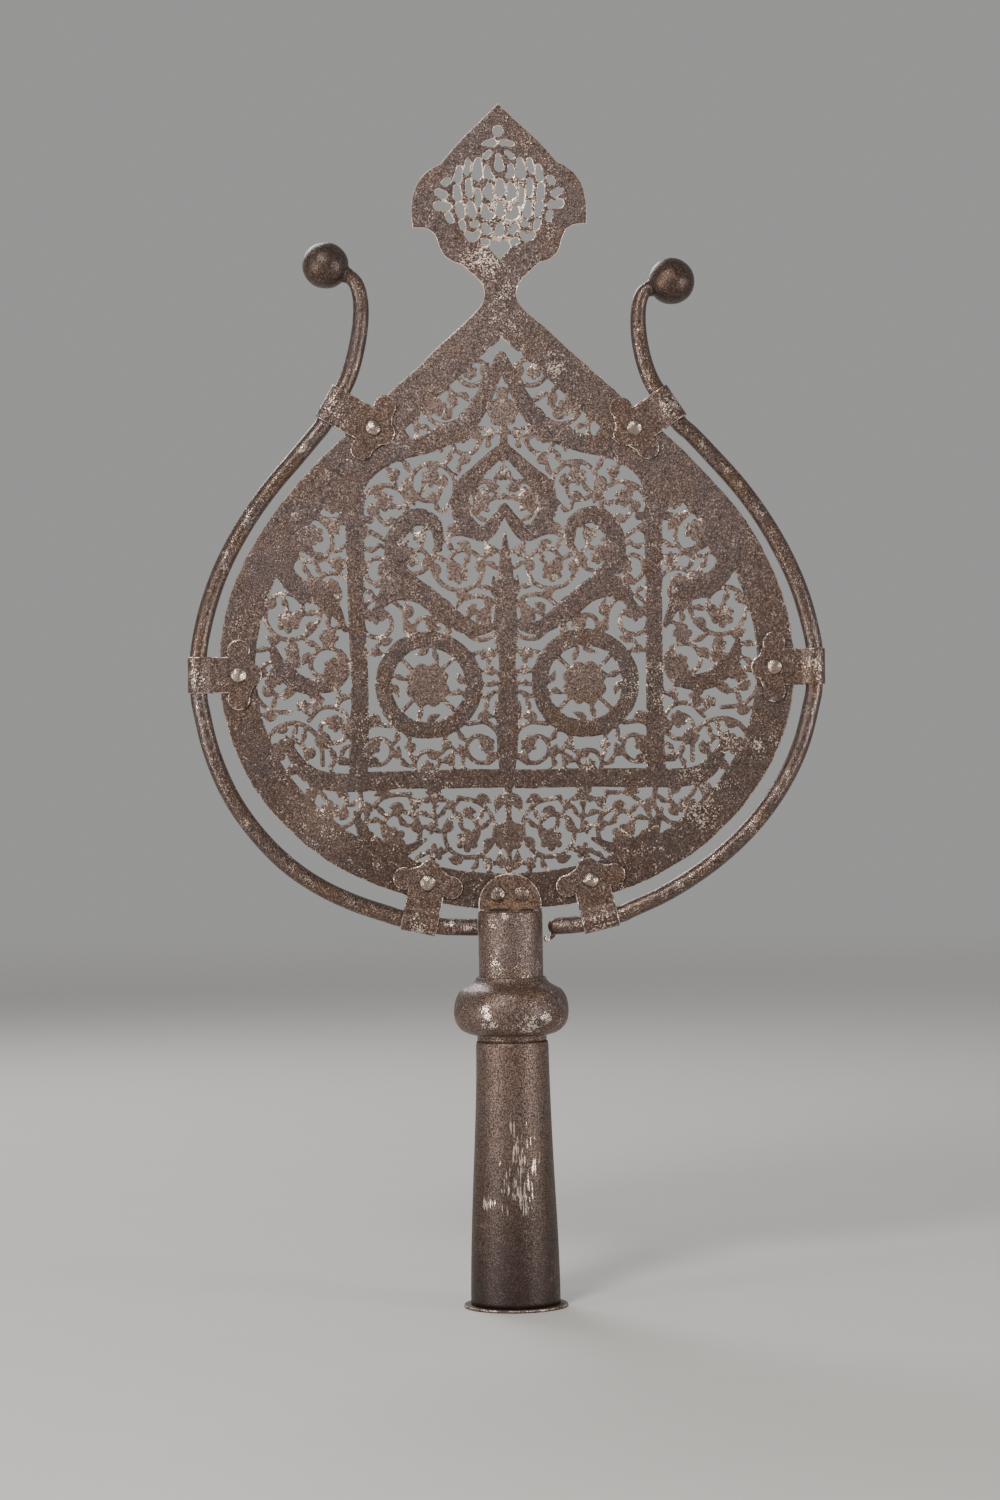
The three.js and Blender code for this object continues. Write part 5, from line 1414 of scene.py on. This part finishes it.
def clip_mesh(reach):
    """A strap bent round the rod: a flat blank with a lobed leaf at each end, wrapped along the strap's side view.

    The side view is the middle line of the strap: a leaf, an arc round the rod and the other leaf, with its
    corners eased. A place on the blank goes to that line at its distance from the nose, moved off it by the
    offset through the thickness.
    """
    leaf = PLATE_THICKNESS / 2 + SEAT + STRAP / 2
    bend = ROD_RADIUS + STRAP_CLEARANCE + STRAP / 2
    tip = reach + NOSE_REACH
    angle = np.linspace(-0.3 * np.pi, -1.7 * np.pi, 60)
    arc = np.column_stack([bend * np.cos(angle), bend * np.sin(angle)])
    corner = 1.22 * bend
    line = np.vstack([[(tip, -leaf), (corner + 3, -leaf)],
                      bezier((corner + 1.5, -leaf), (corner, -leaf), (corner - 0.6, -leaf), arc[0], 10), arc,
                      bezier(arc[-1], (corner - 0.6, leaf), (corner, leaf), (corner + 1.5, leaf), 10)[1:],
                      [(corner + 3, leaf), (tip, leaf)]])
    run = lengths_along(line)
    length = run[-1]
    even = np.linspace(0, length, 900)
    line = np.column_stack([np.interp(even, run, line[:, axis]) for axis in (0, 1)])
    along = unit(np.gradient(line, axis=0))

    half, step = clip_leaf(), 0.8
    shank = np.arange(half[-1, 0] + step, length - half[-1, 0] - step / 2, step)
    shank = np.column_stack([shank, np.full(len(shank), SHANK_HALF_WIDTH)])
    side = np.vstack([half, shank, (half * (-1, 1) + (length, 0))[::-1]])
    other = (side * (1, -1))[::-1]
    hole = circle(RIVET_SHANK + SEAT, 20)[::-1]
    blank = np.vstack([other, side[1:]])[:-1][::-1]
    edge = loops(blank, hole + (NOSE_REACH, 0), hole + (length - NOSE_REACH, 0))

    def wrap(place, across, offset):
        at = [np.interp(place, even, column) for column in (line[:, 0], line[:, 1], along[:, 0], along[:, 1])]
        return np.column_stack([at[0] + at[3] * offset, at[1] - at[2] * offset, across])

    points, faces, rim, _ = sheet_mesh(
        edge, STRAP, np.full(len(edge[0]), STRAP_RIM), lambda places: depth_in(edge, places), wrap, 1.1)
    return points, faces, rim


class ALAM_OT_clips(AlamOperator, bpy.types.Operator):
    """Wraps the six lobed clips round the rods and sets their rivets"""
    bl_idname = "alam.clips"
    bl_label = "Clips"

    def execute(self, context):
        sizes, look = context.scene.alam_sizes, context.scene.alam_look
        for number, (name, centre, inward, reach) in enumerate(clip_places()):
            points, faces, rim = clip_mesh(reach)
            points = points + uneven(points, 60 + number, 12, 0.06)[:, None] * (0, 1, 0)
            along = np.array([-inward[1], inward[0]])
            x = centre[0] + points[:, 0] * inward[0] + points[:, 2] * along[0]
            z = centre[1] + points[:, 0] * inward[1] + points[:, 2] * along[1]
            placed = np.column_stack([x, points[:, 1], z])
            traits = {"rim": rim, "wear": np.full(len(rim), 0.05)}
            clip = write_mesh(f"clip_{name}_strap", placed, faces, traits, SHEET_SHARP)
            rivet = centre + inward * reach
            rusty = (((centre[0], -4, centre[1]), 22, 0.35),)
            # At the strap's bend the bare spot is rubbed metal and a painted highlight.
            bend = centre - 3 * inward
            bare_and_sheen = (((bend[0], -6, bend[1]), 10, 0.55),)
            finish = old_steel(f"clip_{name}_steel", look, rust=0.1, rub=0.06, gloss=0.12, rust_spots=rusty,
                               bare_and_sheen_spots=bare_and_sheen, warm=0.3)
            put(clip, "rusty_steel", finish, f"clip_{name}")
            seat = PLATE_THICKNESS / 2 + SEAT + STRAP + SEAT
            points, faces = rivet_mesh(80 + number, seat, sizes.rivet_head, sizes.dome)
            head = write_mesh(f"clip_rivet_{name}_head", points + (rivet[0], 0, rivet[1]), faces)
            finish = old_steel(f"clip_rivet_{name}_steel", look, rub=0.95, gloss=0.06, hammered=2.6, silver=0.48,
                               white=0.34)
            put(head, "rivet_steel", finish, f"clip_rivet_{name}")
        return {"FINISHED"}


class ALAM_OT_stage(AlamOperator, bpy.types.Operator):
    """Lays the pale floor and sets the soft lights and the camera"""
    bl_idname = "alam.stage"
    bl_label = "Stage"

    def execute(self, context):
        scene = context.scene
        self.floor(scene)
        for light in LIGHTS:
            self.light(*light)
        world = bpy.data.worlds.new("soft_room")
        world.use_nodes = True
        room = world.node_tree.nodes["Background"]
        room.inputs["Color"].default_value = ROOM_COLOUR
        room.inputs["Strength"].default_value = ROOM_STRENGTH
        scene.world = world
        self.camera(scene)
        return {"FINISHED"}

    def floor(self, scene):
        """A wide disc that fades out before its edge, so that it meets the room without a line."""
        rings = np.linspace(0.02, 1, 40) ** 2 * FLOOR_RADIUS
        sides = 96
        points, quads = turned_mesh(np.column_stack([rings, 0 * rings]), sides, closed=False)
        centre = np.column_stack([np.full(sides, len(points)), np.arange(sides), (np.arange(sides) + 1) % sides])
        points = np.vstack([points, (0, 0, 0)])
        mesh = bpy.data.meshes.new("floor")
        mesh.from_pydata((points * MM).tolist(), [], quads[:, [0, 3, 2, 1]].tolist() + centre.tolist())
        floor = bpy.data.objects.new("floor", mesh)
        scene.collection.objects.link(floor)
        finish = Finish("floor_paint")
        grain = finish.noise(60, 3.0)
        finish.feed("Base Color", finish.mixed(grain * 0.5, linear(214, 211, 206), linear(206, 203, 198)))
        finish.feed("Roughness", 0.75)
        finish.feed("Alpha", 1 - finish.length(finish.place).rise(1.2, 4.5))
        mesh.materials.append(finish.material)

    def light(self, name, place, aim, size, power, colour):
        lamp = bpy.data.lights.new(name, "AREA")
        lamp.shape = "DISK"
        lamp.size = size
        lamp.energy = power
        lamp.color = colour
        holder = bpy.data.objects.new(name, lamp)
        holder.location = place
        way = np.array(aim) - np.array(place)
        flat = np.hypot(way[0], way[1])
        holder.rotation_euler = (np.pi / 2 + np.arctan2(way[2], flat), 0, np.arctan2(-way[0], way[1]))
        bpy.context.scene.collection.objects.link(holder)

    def camera(self, scene):
        """Level camera in front of the plate at the height of its middle, turned a little about its own axis."""
        lens = bpy.data.cameras.new("photo_view")
        lens.sensor_width = SENSOR
        lens.lens = SENSOR * FOCAL_LENGTH / PHOTO_HEIGHT
        lens.dof.use_dof = False
        camera = bpy.data.objects.new("photo_view", lens)
        camera.rotation_mode = "XYZ"
        camera.location = [value * MM for value in CAMERA_PLACE]
        camera.rotation_euler = (np.pi / 2, np.radians(CAMERA_ROLL), 0)
        scene.collection.objects.link(camera)
        scene.camera = camera


class ALAM_PT_panel(bpy.types.Panel):
    """Lists the steps, sizes and colours in the sidebar"""
    bl_idname = "ALAM_PT_panel"
    bl_label = "Alam"
    bl_space_type = "VIEW_3D"
    bl_region_type = "UI"
    bl_category = "Alam"

    def draw(self, context):
        for operator in OPERATORS:
            self.layout.operator(operator.bl_idname)
        for group in (context.scene.alam_sizes, context.scene.alam_look):
            for key in group.__annotations__:
                self.layout.prop(group, key)


OPERATORS = (ALAM_OT_stage, ALAM_OT_plate, ALAM_OT_socket, ALAM_OT_lugs, ALAM_OT_rods, ALAM_OT_clips)
CLASSES = (AlamSizes, AlamLook, *OPERATORS, ALAM_PT_panel)


def register():
    for item in CLASSES:
        bpy.utils.register_class(item)
    bpy.types.Scene.alam_sizes = PointerProperty(type=AlamSizes)
    bpy.types.Scene.alam_look = PointerProperty(type=AlamLook)


def unregister():
    del bpy.types.Scene.alam_sizes
    del bpy.types.Scene.alam_look
    for item in reversed(CLASSES):
        bpy.utils.unregister_class(item)


def main():
    """Builds everything in order."""
    register()
    for step in (bpy.ops.alam.stage, bpy.ops.alam.plate, bpy.ops.alam.socket, bpy.ops.alam.lugs,
                 bpy.ops.alam.rods, bpy.ops.alam.clips):
        step()


if __name__ == "__main__":
    main()
